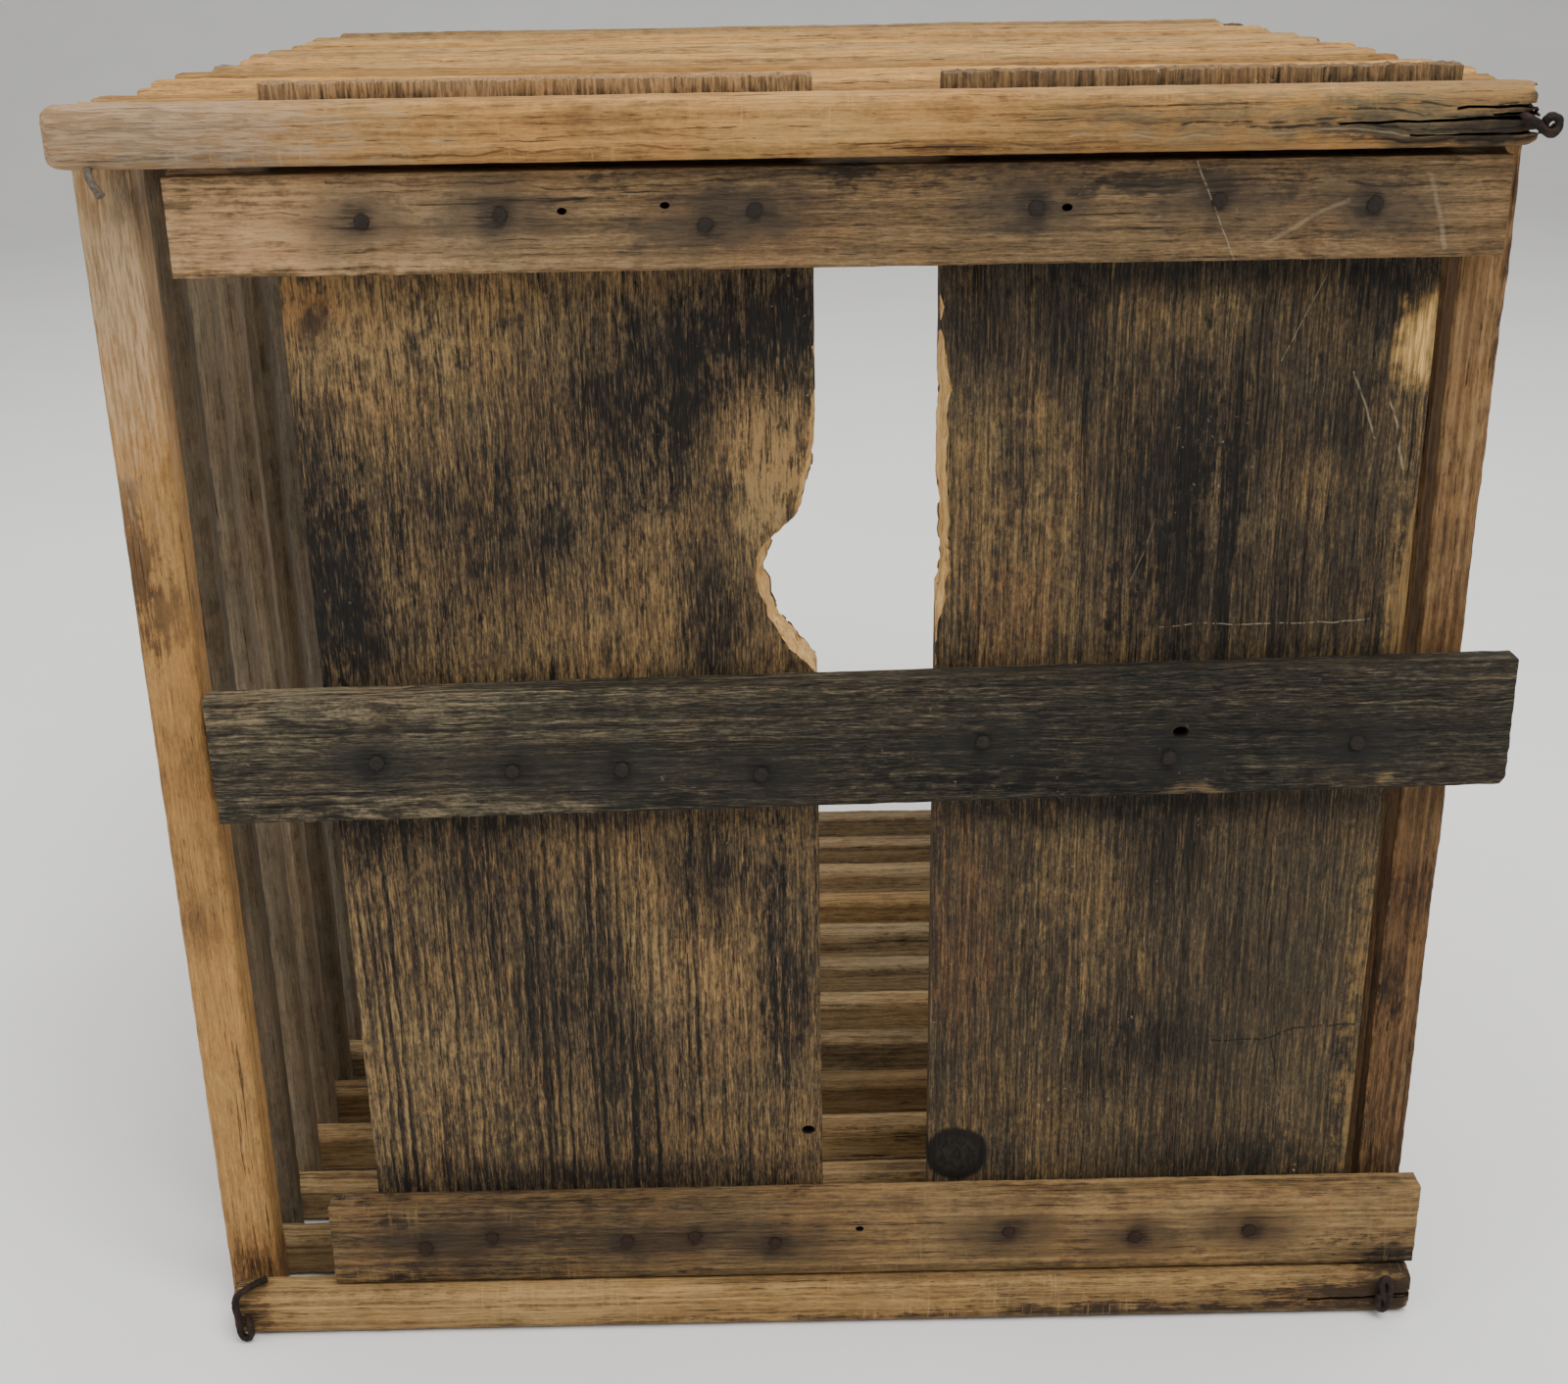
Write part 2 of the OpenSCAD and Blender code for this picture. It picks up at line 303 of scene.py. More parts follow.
class Timber:
    """The grain of one wood finish, as the numbers that its layers share."""

    SHIFT = (1.0, 0.37, 0.73)
    BEND_MM = 20.0
    BEND_DETAIL = 3.0
    BEND_BY = 11.0 * MM
    WAVE = (0.0, 0.12, 0.12)
    WARM = (1.03, 1.0, 0.94)
    COOL = (0.97, 1.01, 1.0)
    CAST_AT = (0.35, 0.65)
    FIBRE = Layer(4.0, 0.68, 0.29, 0.71)
    GRIT_MM = (1.5, 0.5)
    GRIT = Layer(3.0, 0.7, 0.32, 0.68)
    THREAD_AT = (0.32, 0.68)
    FLECK_AT = (0.32, 0.25)
    LINE = Layer(2.0, 0.6, 0.3, 0.7)
    STREAK_DETAIL = 3.0
    BLOTCH = (5.0, 0.65)
    MOTTLE = Layer(4.0, 0.7, 0.3, 0.7)
    CHECK_MM = (48.0, 1.0)
    CHECK = Layer(3.0, 0.65, 0.64, 0.69)
    FRAY_FROM = -2.9
    FRAY = {"fibre": 0.9, "mottle": 0.9, "streak": 2.2, "blotch": 1.8}
    GRAINY = (0.25, 0.75, 0.72, 1.3)
    PALER = 0.5
    ROW_WARM = (0.92, 1.06)
    ROW_COOL = (1.10, 0.84)
    ROW_SHIFT = (7.0, 5.0, 3.0)

    def __init__(self, g: Graph, finish: "WoodFinish") -> None:
        """Lay out the coordinates and the noises of the grain."""
        self.here = g.place.outputs["Object"]
        turned = g.node("ShaderNodeMapping", {"Vector": self.here, "Rotation": finish.grain.value})
        shift = tuple(finish.seed * share for share in self.SHIFT)
        self.along = g.vector("ADD", turned.outputs[0], shift)
        self.tone: Socket | None = None
        if finish.row:
            self._split(g, finish.row)
        values = {"Vector": self.along, "Scale": 1 / (self.BEND_MM * MM), "Detail": self.BEND_DETAIL}
        drift = g.node("ShaderNodeTexNoise", values)
        swing = g.vector("SUBTRACT", drift.outputs["Color"], (0.5, 0.5, 0.5))
        self.swing = g.vector("MULTIPLY", swing, (self.BEND_BY,) * 3)
        self.bent = g.vector("ADD", self.here, self.swing)
        self.cast = g.mix(g.remap(drift.outputs["Fac"], *self.CAST_AT), self.WARM, self.COOL)
        self.along = g.vector("ADD", self.along, g.vector("MULTIPLY", self.swing, self.WAVE))
        self.fibre = self._layer(g, finish.fibre_mm, self.FIBRE)
        self.grit = self._layer(g, self.GRIT_MM, self.GRIT)
        thread = g.noise(self.along, *finish.thread_mm)
        self.thread = g.remap(thread, *self.THREAD_AT)
        self.flecks = g.remap(thread, *self.FLECK_AT)
        self.line = self._layer(g, finish.line_mm, self.LINE)
        self.streak = g.noise(self.along, *finish.streak_mm, self.STREAK_DETAIL)
        self.blotch = g.noise(self.along, *finish.blotch_mm, *self.BLOTCH)
        self.mottle = self._layer(g, finish.mottle_mm, self.MOTTLE)
        self.checks = self._layer(g, self.CHECK_MM, self.CHECK)
        self.fray = self.blend(g, self.FRAY_FROM, self.FRAY)
        self.grainy = g.remap(self.fibre, *self.GRAINY)

    def _layer(self, g: Graph, size_mm: tuple[float, float], layer: Layer) -> Socket:
        """One noise along the grain, spread from 0 to 1."""
        return g.remap(g.noise(self.along, *size_mm, layer.detail, layer.rough), layer.low, layer.high)

    def blend(self, g: Graph, start: Value, weights: dict[str, float]) -> Value:
        """Add up layers of the grain, by name and each times its weight, from a start."""
        return g.total(start, *((getattr(self, name), weight) for name, weight in weights.items()))

    def _split(self, g: Graph, row: Row) -> None:
        """Give each slat of a row its own tone and its own stretch of grain."""
        y = g.parts(self.here)[1]
        number = g.math("FLOOR", g.math("DIVIDE", g.math("SUBTRACT", y, row.start), row.pitch))
        dice = g.node("ShaderNodeTexWhiteNoise", {"W": number}, noise_dimensions="1D").outputs["Color"]
        red, green, _blue = g.parts(dice)
        light = g.remap(red, 0.0, 1.0, 1.0 - row.differ, 1.0 + row.differ * self.PALER)
        warm = g.math("MULTIPLY", light, g.remap(green, 0.0, 1.0, *self.ROW_WARM))
        cool = g.math("MULTIPLY", light, g.remap(green, 0.0, 1.0, *self.ROW_COOL))
        self.tone = g.node("ShaderNodeCombineColor", {0: warm, 1: light, 2: cool}).outputs[0]
        self.along = g.vector("ADD", self.along, g.vector("MULTIPLY", dice, self.ROW_SHIFT))


@dataclass(frozen=True)
class WoodFinish:
    """Aged softwood: its tones from soiled to bare, its grain, what the years left on it and the shade
    painted on it.
    """

    STOPS = (0.0, 0.25, 0.5, 0.75, 1.0)
    PALE = 3
    SHINE = 0.22
    DULL = (0.2, 0.8, 0.7, 0.92)
    RAISED = {"fibre": 0.3, "thread": 0.25, "line": 0.3, "streak": 0.5, "mottle": 0.1, "grit": 0.15}
    RING_SINK = -0.25
    SUNK = {"checks": -1.0, "flecks": -0.5}
    GRIME_FROM = -0.4
    GRIME = {"blotch": 1.0, "mottle": 0.3, "streak": 0.5}
    GRIME_AT = (0.56, 0.80)
    HOLD_FROM = 2.1
    HOLD = {"fibre": -0.7, "thread": -0.5, "streak": -1.0}
    SOIL_AND_SHADE_AT = (-0.35, 0.95)
    TINT_AT = (-0.2, 0.75)
    RING_WANDER_MM = (420.0, 60.0)
    RING_RAGGED_MM = (40.0, 3.0)
    RING_WANDER = 7.0
    RING_RAGGED = 1.5
    RING_SLANT = 0.4
    RING_LEVEL = 0.35
    LATE_AT = (0.2, 0.8)
    EARLY_AT = (1.0, 0.88)
    RING_STREAK = (0.35, 0.6, 0.2, 1.0)
    RING_ZONE = (-0.2, 0.6, 0.15, 1.0)
    SAW_MM = (1.2, 14.0)
    SAW_AT = (0.57, 0.68)
    SAWN_AT = (0.46, 0.62)
    EDGE_AT = (0.99, 0.80)
    RUB_AT = (0.25, 0.8)
    SPECK_MM = 2.0
    SPECK = Layer(3.0, 0.7, 0.66, 0.74)
    DUSTY_AT = (0.45, 0.62)
    KNOT_FROM = -0.25
    KNOT_RAGGED = {"blotch": 0.5}
    KNOT_RINGS = 15.0
    KNOT_WAVER = {"mottle": 6.0, "thread": 2.0}
    KNOT_RING_AT = (-0.6, 0.9)
    KNOT_HEART_AT = (0.85, 0.5)
    KNOT_EDGE = (1.12, 0.94, 0.0, 0.97)
    SCORE_AT = (0.75, 0.2)
    SCORE_BROKEN_AT = (0.55, 1.15)
    SCORE_DEPTH = 1.4

    name: str
    grain: Grain
    tones: Tones
    seed: float = 0.0
    row: Row | None = None
    fibre_mm: tuple[float, float] = (10.0, 0.75)
    thread_mm: tuple[float, float] = (5.0, 0.36)
    line_mm: tuple[float, float] = (150.0, 1.1)
    streak_mm: tuple[float, float] = (120.0, 4.5)
    blotch_mm: tuple[float, float] = (60.0, 24.0)
    mottle_mm: tuple[float, float] = (7.0, 4.0)
    ring_mm: float = 2.8
    grit_show: float = 0.04
    fibre_show: float = 0.07
    thread_show: float = 0.08
    line_show: float = 0.12
    streak_show: float = 0.3
    blotch_show: float = 0.28
    mottle_show: float = 0.06
    ring_show: float = 0.06
    fleck_show: float = 0.25
    check_show: float = 0.35
    grime_show: float = 0.15
    # Strength of the marks without a colour, which darken the wood for soil and for painted shade.
    soil_and_shade_show: float = 1.0
    saw_show: float = 0.0
    dust_show: float = 0.0
    edge_show: float = 0.3
    relief: float = 0.3 * MM
    ring_zone: Mark | None = None
    marks: tuple[Mark, ...] = ()
    scores: tuple[Score, ...] = ()
    knots: tuple[Knot, ...] = ()

    def material(self) -> Material:
        """Build the finish as a material.

        Returns:
            The material.
        """
        g = Graph(self.name)
        t = Timber(g, self)
        rings = self._rings(g, t)
        colour = g.ramp(self._level(g, t, rings), *zip(self.STOPS, self.tones))
        if self.saw_show:
            colour = self._saw(g, t, colour)
        colour = self._edges(g, t, colour)
        colour = self._tints(g, t, colour)
        if self.dust_show:
            colour = self._dust(g, t, colour)
        for knot in self.knots:
            colour = self._knot(g, t, knot, colour)
        relief = g.total(t.blend(g, 0.0, self.RAISED), (rings, self.RING_SINK))
        relief = t.blend(g, relief, self.SUNK)
        for score in self.scores:
            share = self._score(g, t, score)
            colour = g.mix(share, colour, score.colour)
            relief = g.total(0.0, (relief, 1.0), (share, -self.SCORE_DEPTH))
        colour = g.mix(1.0, colour, t.cast, "MULTIPLY")
        if t.tone:
            colour = g.mix(1.0, colour, t.tone, "MULTIPLY")
        g.put(g.shader.inputs["Base Color"], colour)
        g.put(g.shader.inputs["Roughness"], g.remap(t.fibre, *self.DULL))
        g.put(g.shader.inputs["Specular IOR Level"], self.SHINE)
        g.bump(relief, self.relief)
        return g.material

    def _level(self, g: Graph, t: Timber, rings: Socket) -> Socket:
        """Where on the scale from soiled to bare the wood is at a point, painted shade included."""
        dirt = g.remap(t.blend(g, self.GRIME_FROM, self.GRIME), *self.GRIME_AT)
        # Marks without a colour darken the wood here, for soil and for painted shade.
        soil_and_shade = g.total(0.0, *((g.remap(self._reach(g, t, mark), *self.SOIL_AND_SHADE_AT), mark.strength)
                              for mark in self.marks if mark.colour is None))
        hold = t.blend(g, self.HOLD_FROM, self.HOLD)
        layers = ((t.grit, self.grit_show), (t.fibre, self.fibre_show), (t.thread, self.thread_show),
                  (t.line, self.line_show), (t.streak, self.streak_show), (t.blotch, self.blotch_show),
                  (t.mottle, self.mottle_show))
        start = 0.5 - sum(show for _noise, show in layers) + self.RING_LEVEL * self.ring_show
        return g.total(
            start, *((noise, 2 * show) for noise, show in layers), (rings, -self.ring_show),
            (t.flecks, -self.fleck_show), (t.checks, -self.check_show), (dirt, -self.grime_show),
            (g.math("MULTIPLY", soil_and_shade, hold), -self.soil_and_shade_show))

    def _rings(self, g: Graph, t: Timber) -> Socket:
        """Growth rings as a saw wave across the grain, pale early wood running into dark late wood."""
        _x, y, z = g.parts(t.along)
        wander = g.noise(t.along, *self.RING_WANDER_MM)
        ragged = g.noise(t.along, *self.RING_RAGGED_MM)
        across = MM_PER_M / self.ring_mm
        wave = g.math("FRACT", g.total(0.0, (z, across), (y, self.RING_SLANT * across),
                                       (wander, self.RING_WANDER), (ragged, self.RING_RAGGED)))
        late = g.math("MULTIPLY", g.remap(wave, *self.LATE_AT), g.remap(wave, *self.EARLY_AT))
        late = g.math("MULTIPLY", late, g.remap(t.streak, *self.RING_STREAK))
        if self.ring_zone is None:
            return late
        zone = self._reach(g, t, self.ring_zone)
        return g.math("MULTIPLY", late, g.remap(zone, *self.RING_ZONE))

    def _saw(self, g: Graph, t: Timber, colour: Socket) -> Socket:
        """Faint pale lines that the saw left across the grain."""
        lines = g.remap(g.noise(t.along, *self.SAW_MM), *self.SAW_AT)
        where = g.remap(t.blotch, *self.SAWN_AT)
        share = g.math("MULTIPLY", g.math("MULTIPLY", lines, where), self.saw_show)
        return g.mix(share, colour, self.tones[self.PALE])

    def _edges(self, g: Graph, t: Timber, colour: Socket) -> Socket:
        """Rubbed edges, where the surface turns away from the main faces."""
        facing = g.node("ShaderNodeVectorMath", {0: g.place.outputs["Normal"]}, operation="ABSOLUTE")
        x, y, z = g.parts(facing.outputs[0])
        flat = g.math("MAXIMUM", x, g.math("MAXIMUM", y, z))
        rub = g.math("MULTIPLY", g.remap(flat, *self.EDGE_AT), g.remap(t.mottle, *self.RUB_AT))
        return g.mix(g.math("MULTIPLY", rub, self.edge_show), colour, self.tones[self.PALE])

    @staticmethod
    def _reach(g: Graph, t: Timber, mark: Mark) -> Socket:
        """How deep inside a mark a point is, from 1 at its middle, bent and frayed with the grain."""
        away = g.vector("SUBTRACT", t.bent, (mark.x * MM, 0.0, mark.z * MM))
        size = (1 / (mark.wide * MM), 0.0, 1 / (mark.high * MM))
        return g.total(1.0, (g.length(g.vector("MULTIPLY", away, size)), -1.0), (t.fray, mark.fray))

    def _tints(self, g: Graph, t: Timber, colour: Socket) -> Socket:
        """Lay the finish's coloured marks over the wood, with the grain showing through them."""
        shades: dict[Colour, Socket] = {}
        for mark in self.marks:
            if mark.colour is None:
                continue
            if mark.colour not in shades:
                shades[mark.colour] = g.mix(1.0, mark.colour, t.grainy, "MULTIPLY")
            share = g.remap(self._reach(g, t, mark), *self.TINT_AT, 0.0, mark.strength)
            colour = g.mix(share, colour, shades[mark.colour])
        return colour

    def _dust(self, g: Graph, t: Timber, colour: Socket) -> Socket:
        """Pale specks of chipped wood and dust."""
        noise = g.noise(t.here, self.SPECK_MM, self.SPECK_MM, self.SPECK.detail, self.SPECK.rough)
        specks = g.remap(noise, self.SPECK.low, self.SPECK.high)
        where = g.remap(t.blotch, *self.DUSTY_AT)
        share = g.math("MULTIPLY", g.math("MULTIPLY", specks, where), self.dust_show)
        return g.mix(share, colour, DUST)

    def _knot(self, g: Graph, t: Timber, knot: Knot, colour: Socket) -> Socket:
        """A dark knot with rings of its own."""
        away = g.vector("SUBTRACT", t.here, (knot.x * MM, 0.0, knot.z * MM))
        size = 1 / (knot.radius * MM)
        flat = g.vector("MULTIPLY", away, (size, 0.0, size))
        reach = t.blend(g, g.total(self.KNOT_FROM, (g.length(flat), 1.0)), self.KNOT_RAGGED)
        rings = g.math("SINE", t.blend(g, g.total(0.0, (reach, self.KNOT_RINGS)), self.KNOT_WAVER))
        heart = g.math("MULTIPLY", g.remap(rings, *self.KNOT_RING_AT), g.remap(reach, *self.KNOT_HEART_AT))
        wood = g.mix(heart, knot.rim, knot.heart)
        return g.mix(g.remap(reach, *self.KNOT_EDGE), colour, wood)

    def _score(self, g: Graph, t: Timber, score: Score) -> Socket:
        """Share of a crack or scratch at a point, wavering and broken as real ones are."""
        start = Vector((score.x, 0.0, score.z)) * MM
        run = Vector((score.to_x, 0.0, score.to_z)) * MM - start
        spot = g.vector("ADD", t.here, g.vector("MULTIPLY", t.swing, (score.wander,) * 3))
        away = g.vector("MULTIPLY", g.vector("SUBTRACT", spot, tuple(start)), (1.0, 0.0, 1.0))
        part = g.dot(away, tuple(run / run.length_squared))
        held = g.math("MINIMUM", g.math("MAXIMUM", part, 0.0), 1.0)
        nearest = g.node("ShaderNodeVectorMath", {0: tuple(run), "Scale": held}, operation="SCALE").outputs[0]
        gap = g.length(g.vector("SUBTRACT", away, nearest))
        outer, inner = (share * score.width * MM for share in self.SCORE_AT)
        line = g.remap(gap, outer, inner, 0.0, score.strength)
        broken = g.remap(g.math("ADD", t.mottle, t.fibre), *self.SCORE_BROKEN_AT)
        return g.math("MULTIPLY", line, broken)


@dataclass(frozen=True)
class RustFinish:
    """Rusted iron: dark scale, red rust and pits."""

    PATCH_MM = 4.0
    PATCH = (4.0, 0.65)
    GRIT_MM = 0.7
    GRIT = (3.0, 0.7)
    RUST_AT = (0.4, 0.65)
    LOW_AT = (0.10, 0.05)
    SOOT_AT = (0.35, 0.75, 0.0, 0.5)
    METAL = (0.35, 0.6, 0.2, 0.0)
    DULL = (0.3, 0.7, 0.6, 0.9)
    SHINE = 0.2

    name: str
    scale_colour: Colour
    rust_colour: Colour
    rust_share: float = 0.5
    low_rust: float = 0.0
    pit: float = 0.25 * MM

    def material(self) -> Material:
        """Build the finish as a material.

        Returns:
            The material.
        """
        g = Graph(self.name)
        here = g.place.outputs["Object"]
        patch = g.noise(here, self.PATCH_MM, self.PATCH_MM, *self.PATCH)
        grit = g.noise(here, self.GRIT_MM, self.GRIT_MM, *self.GRIT)
        share = g.math("MULTIPLY", g.remap(patch, *self.RUST_AT), self.rust_share)
        colour = g.mix(share, self.scale_colour, self.rust_colour)
        low = g.remap(g.parts(here)[2], *self.LOW_AT, 0.0, self.low_rust)
        colour = g.mix(low, colour, self.rust_colour)
        colour = g.mix(g.remap(grit, *self.SOOT_AT), colour, SOOT)
        g.put(g.shader.inputs["Base Color"], colour)
        g.put(g.shader.inputs["Metallic"], g.remap(patch, *self.METAL))
        g.put(g.shader.inputs["Roughness"], g.remap(grit, *self.DULL))
        g.put(g.shader.inputs["Specular IOR Level"], self.SHINE)
        g.bump(g.math("ADD", patch, grit), self.pit)
        return g.material


@dataclass(frozen=True)
class PlainFinish:
    """A plain matt finish with a faint mottle, for the floor and for the dark inside of cracks."""

    CLOUD_MM = 110.0
    CLOUD_DETAIL = 4.0
    CLOUD_AT = (0.3, 0.7)
    SHINE = 0.1

    name: str
    colour: Colour
    mottle: float = 0.06
    rough: float = 0.9

    def material(self) -> Material:
        """Build the finish as a material.

        Returns:
            The material.
        """
        g = Graph(self.name)
        cloud = g.noise(g.place.outputs["Object"], self.CLOUD_MM, self.CLOUD_MM, self.CLOUD_DETAIL)
        dull = tuple(c * (1 - self.mottle) for c in self.colour)
        g.put(g.shader.inputs["Base Color"], g.mix(g.remap(cloud, *self.CLOUD_AT), self.colour, dull))
        g.put(g.shader.inputs["Roughness"], self.rough)
        g.put(g.shader.inputs["Specular IOR Level"], self.SHINE)
        return g.material


class Bench:
    """Modelling steps that the pieces share."""

    STRETCH = 45.0
    CLOUDS_MM = {"warp": 90.0, "dent": 9.0, "chip": 3.5, "fibre": 1.3, "rib": 3.4}
    CLOUD_DEPTH = 2
    TOOTH_MM = 5.0
    STRAIGHT = 0.9
    LEAST_CUT = 3

    def __init__(self) -> None:
        """Set out the noises that roughen the wood, and the guides that stretch them along the grain."""
        self.guides = {
            Grain.ALONG_X: self._guide("guide_x", (self.STRETCH, 1.0, 1.0)),
            Grain.ALONG_Z: self._guide("guide_z", (1.0, 1.0, self.STRETCH)),
        }
        self.noises: dict[str, bpy.types.Texture] = {}
        for name, size_mm in self.CLOUDS_MM.items():
            cloud = bpy.data.textures.new(name, "CLOUDS")
            cloud.noise_scale = size_mm * MM
            cloud.noise_depth = self.CLOUD_DEPTH
            self.noises[name] = cloud
        self.noises["warp"].cloud_type = "COLOR"
        tooth = bpy.data.textures.new("tooth", "VORONOI")
        tooth.noise_scale = self.TOOTH_MM * MM
        self.noises["tooth"] = tooth

    @staticmethod
    def _guide(name: str, scale: tuple[float, float, float]) -> Piece:
        """Add an empty whose axes a noise follows."""
        made = bpy.data.objects.new(name, None)
        made.scale = scale
        bpy.context.scene.collection.objects.link(made)
        return made

    def clear(self) -> None:
        """Take the guides away."""
        for made in self.guides.values():
            bpy.data.objects.remove(made)

    @staticmethod
    def take(piece: Piece) -> None:
        """Make a piece the only selected and the active one."""
        bpy.ops.object.select_all(action="DESELECT")
        piece.select_set(True)
        bpy.context.view_layer.objects.active = piece

    @staticmethod
    def start(add: Callable[..., set[str]], **settings: object) -> Piece:
        """Deselect everything and add a primitive with the given settings."""
        bpy.ops.object.select_all(action="DESELECT")
        add(**settings)
        return bpy.context.object

    def bar(self, name: str, low: Vector, high: Vector) -> Piece:
        """Add a bar between two corners.

        Args:
            name: The piece's name.
            low: Its lowest corner.
            high: Its highest corner.

        Returns:
            The new piece, its place in its mesh.
        """
        middle = (low + high) / 2
        made = self.start(bpy.ops.mesh.primitive_cube_add, size=1.0, location=middle, scale=high - low)
        made.name = name
        made.data.name = name
        bpy.ops.object.transform_apply(location=True, rotation=True, scale=True)
        return made

    @staticmethod
    def pick(piece: Piece, test: Callable[[Vector, Vector], bool]) -> None:
        """Select the edges, in edit mode, whose two ends pass a test."""
        bpy.ops.mesh.select_mode(type="EDGE")
        bpy.ops.mesh.select_all(action="DESELECT")
        mesh = bmesh.from_edit_mesh(piece.data)
        for edge in mesh.edges:
            if test(edge.verts[0].co, edge.verts[1].co):
                edge.select_set(True)
        bmesh.update_edit_mesh(piece.data)

    def cut_along(self, piece: Piece, axis: int, cuts: int, least: float) -> None:
        """Subdivide, in edit mode, the edges that run along an axis and are longer than a least length."""
        self.pick(piece, lambda a, b: abs((b - a)[axis]) > max(least, self.STRAIGHT * (b - a).length))
        bpy.ops.mesh.subdivide(number_cuts=cuts)

    def plank(self, name: str, low: Vector, high: Vector, round_mm: float, turns: int,
              cuts: tuple[int, int, int]) -> Piece:
        """Model a plank with rounded edges and enough faces to be roughened.

        Args:
            name: The piece's name.
            low: Its lowest corner.
            high: Its highest corner.
            round_mm: Rounding of all its edges.
            turns: Faces across each rounding.
            cuts: Cuts across each axis.

        Returns:
            The new piece.
        """
        made = self.bar(name, low, high)
        least = self.LEAST_CUT * round_mm * MM
        with edit_mode():
            bpy.ops.mesh.select_all(action="SELECT")
            bpy.ops.mesh.bevel(offset=round_mm * MM, segments=turns, affect="EDGES", profile=0.5)
            for axis, count in enumerate(cuts):
                self.cut_along(made, axis, count, least)
        return made

    def rough(self, piece: Piece, noise: str, depth_mm: float, grain: Grain | None = None,
              way: str = "NORMAL", level: float = 1.0, group: str = "") -> None:
        """Push a piece's surface in by a noise and keep the result.

        Args:
            piece: The piece.
            noise: Name of the noise.
            depth_mm: Depth of the deepest dents.
            grain: Grain that stretches the noise, or None for an even one.
            way: Direction of the push.
            level: Noise value that stays in place.
            group: Vertex group that limits the push.
        """
        step = piece.modifiers.new("rough", "DISPLACE")
        step.texture = self.noises[noise]
        step.strength = depth_mm * MM
        step.mid_level = level
        step.direction = way
        step.vertex_group = group
        step.texture_coords = "GLOBAL"
        if grain is not None:
            step.texture_coords = "OBJECT"
            step.texture_coords_object = self.guides[grain]
        self.apply(piece, step)

    def apply(self, piece: Piece, step: bpy.types.Modifier) -> None:
        """Apply a modifier to its piece."""
        self.take(piece)
        bpy.ops.object.modifier_apply(modifier=step.name)

    def finer(self, piece: Piece, level: int) -> None:
        """Split every face into smaller ones without moving the surface."""
        step = piece.modifiers.new("finer", "SUBSURF")
        step.subdivision_type = "SIMPLE"
        step.levels = level
        step.render_levels = level
        self.apply(piece, step)

    def even(self, piece: Piece, size_mm: float) -> None:
        """Rebuild a piece's surface from faces of one size."""
        step = piece.modifiers.new("even", "REMESH")
        step.mode = "VOXEL"
        step.voxel_size = size_mm * MM
        self.apply(piece, step)

    def carve(self, piece: Piece, cutter: Piece) -> None:
        """Cut a shape out of a piece and clear the spare points that the cut leaves along its edges.

        Args:
            piece: The piece.
            cutter: What is cut out of it, which gives the cut its finish and is used up.
        """
        step = piece.modifiers.new("carve", "BOOLEAN")
        step.operation = "DIFFERENCE"
        step.solver = "EXACT"
        step.object = cutter
        step.material_mode = "TRANSFER"
        self.apply(piece, step)
        bpy.data.objects.remove(cutter)
        with edit_mode():
            bpy.ops.mesh.select_mode(type="VERT")
            bpy.ops.mesh.select_all(action="DESELECT")
            mesh = bmesh.from_edit_mesh(piece.data)
            for point in mesh.verts:
                point.select_set(len(point.link_edges) == 2)
            bmesh.update_edit_mesh(piece.data)
            bpy.ops.mesh.dissolve_verts()

    def slab(self, outline: list[tuple[float, float]], start: float, end: float, drift: float,
             finish: Material) -> Piece:
        """Model a slab to cut with, from its outline.

        Args:
            outline: Points across X and up Z.
            start: Where it starts along Y.
            end: Where it ends along Y.
            drift: How far its outline moves along X on the way.
            finish: Finish of the wood that it lays bare.

        Returns:
            The cutter.
        """
        made = self.start(bpy.ops.mesh.primitive_circle_add, vertices=len(outline), fill_type="NGON")
        for point, (x, z) in zip(made.data.vertices, outline):
            point.co = (x, start, z)
        with edit_mode():
            bpy.ops.mesh.select_all(action="SELECT")
            bpy.ops.mesh.extrude_region_move(TRANSFORM_OT_translate={"value": (drift, end - start, 0.0)})
            bpy.ops.mesh.select_all(action="SELECT")
            bpy.ops.mesh.normals_make_consistent(inside=False)
        self.dress(made, finish)
        return made

    @staticmethod
    def hold(piece: Piece, low: Vector, high: Vector) -> None:
        """Keep every point of a piece within its box."""
        for point in piece.data.vertices:
            point.co = [min(max(c, a), b) for c, a, b in zip(point.co, low, high)]

    @staticmethod
    def group(piece: Piece, name: str, test: Callable[[Vector], float]) -> None:
        """Weigh a piece's points in a vertex group."""
        made = piece.vertex_groups.new(name=name)
        for point in piece.data.vertices:
            weight = test(point.co)
            if weight > 0:
                made.add([point.index], min(weight, 1.0), "REPLACE")

    @staticmethod
    def copy(piece: Piece, name: str, move: Vector) -> Piece:
        """Copy a piece, mesh and all, to another place."""
        made = piece.copy()
        made.data = piece.data.copy()
        made.name = name
        made.data.name = name
        made.data.transform(Matrix.Translation(move))
        bpy.context.scene.collection.objects.link(made)
        return made

    @staticmethod
    def dress(piece: Piece, material: Material) -> None:
        """Give a piece its main finish."""
        if piece.data.materials:
            piece.data.materials[0] = material
        else:
            piece.data.materials.append(material)

    def smooth(self, piece: Piece, angle: float = 40.0) -> None:
        """Shade a piece smooth up to an angle."""
        self.take(piece)
        bpy.ops.object.shade_smooth_by_angle(angle=math.radians(angle))

    def place(self, piece: Piece, body: str, slot: str, *nodes: str) -> None:
        """Hand a finished piece over to the frame and report it."""
        self.smooth(piece)
        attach(piece, body)
        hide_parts(*nodes)
        LOG.info("%s: %d faces, rides on %s", piece.name, len(piece.data.polygons), body)


@dataclass(frozen=True)
class Cleft:
    """A split in a slat's end: its length, its height as a share of the slat's, its rise and its gap."""

    length_mm: float
    height: float
    rise_mm: float
    gap_mm: float


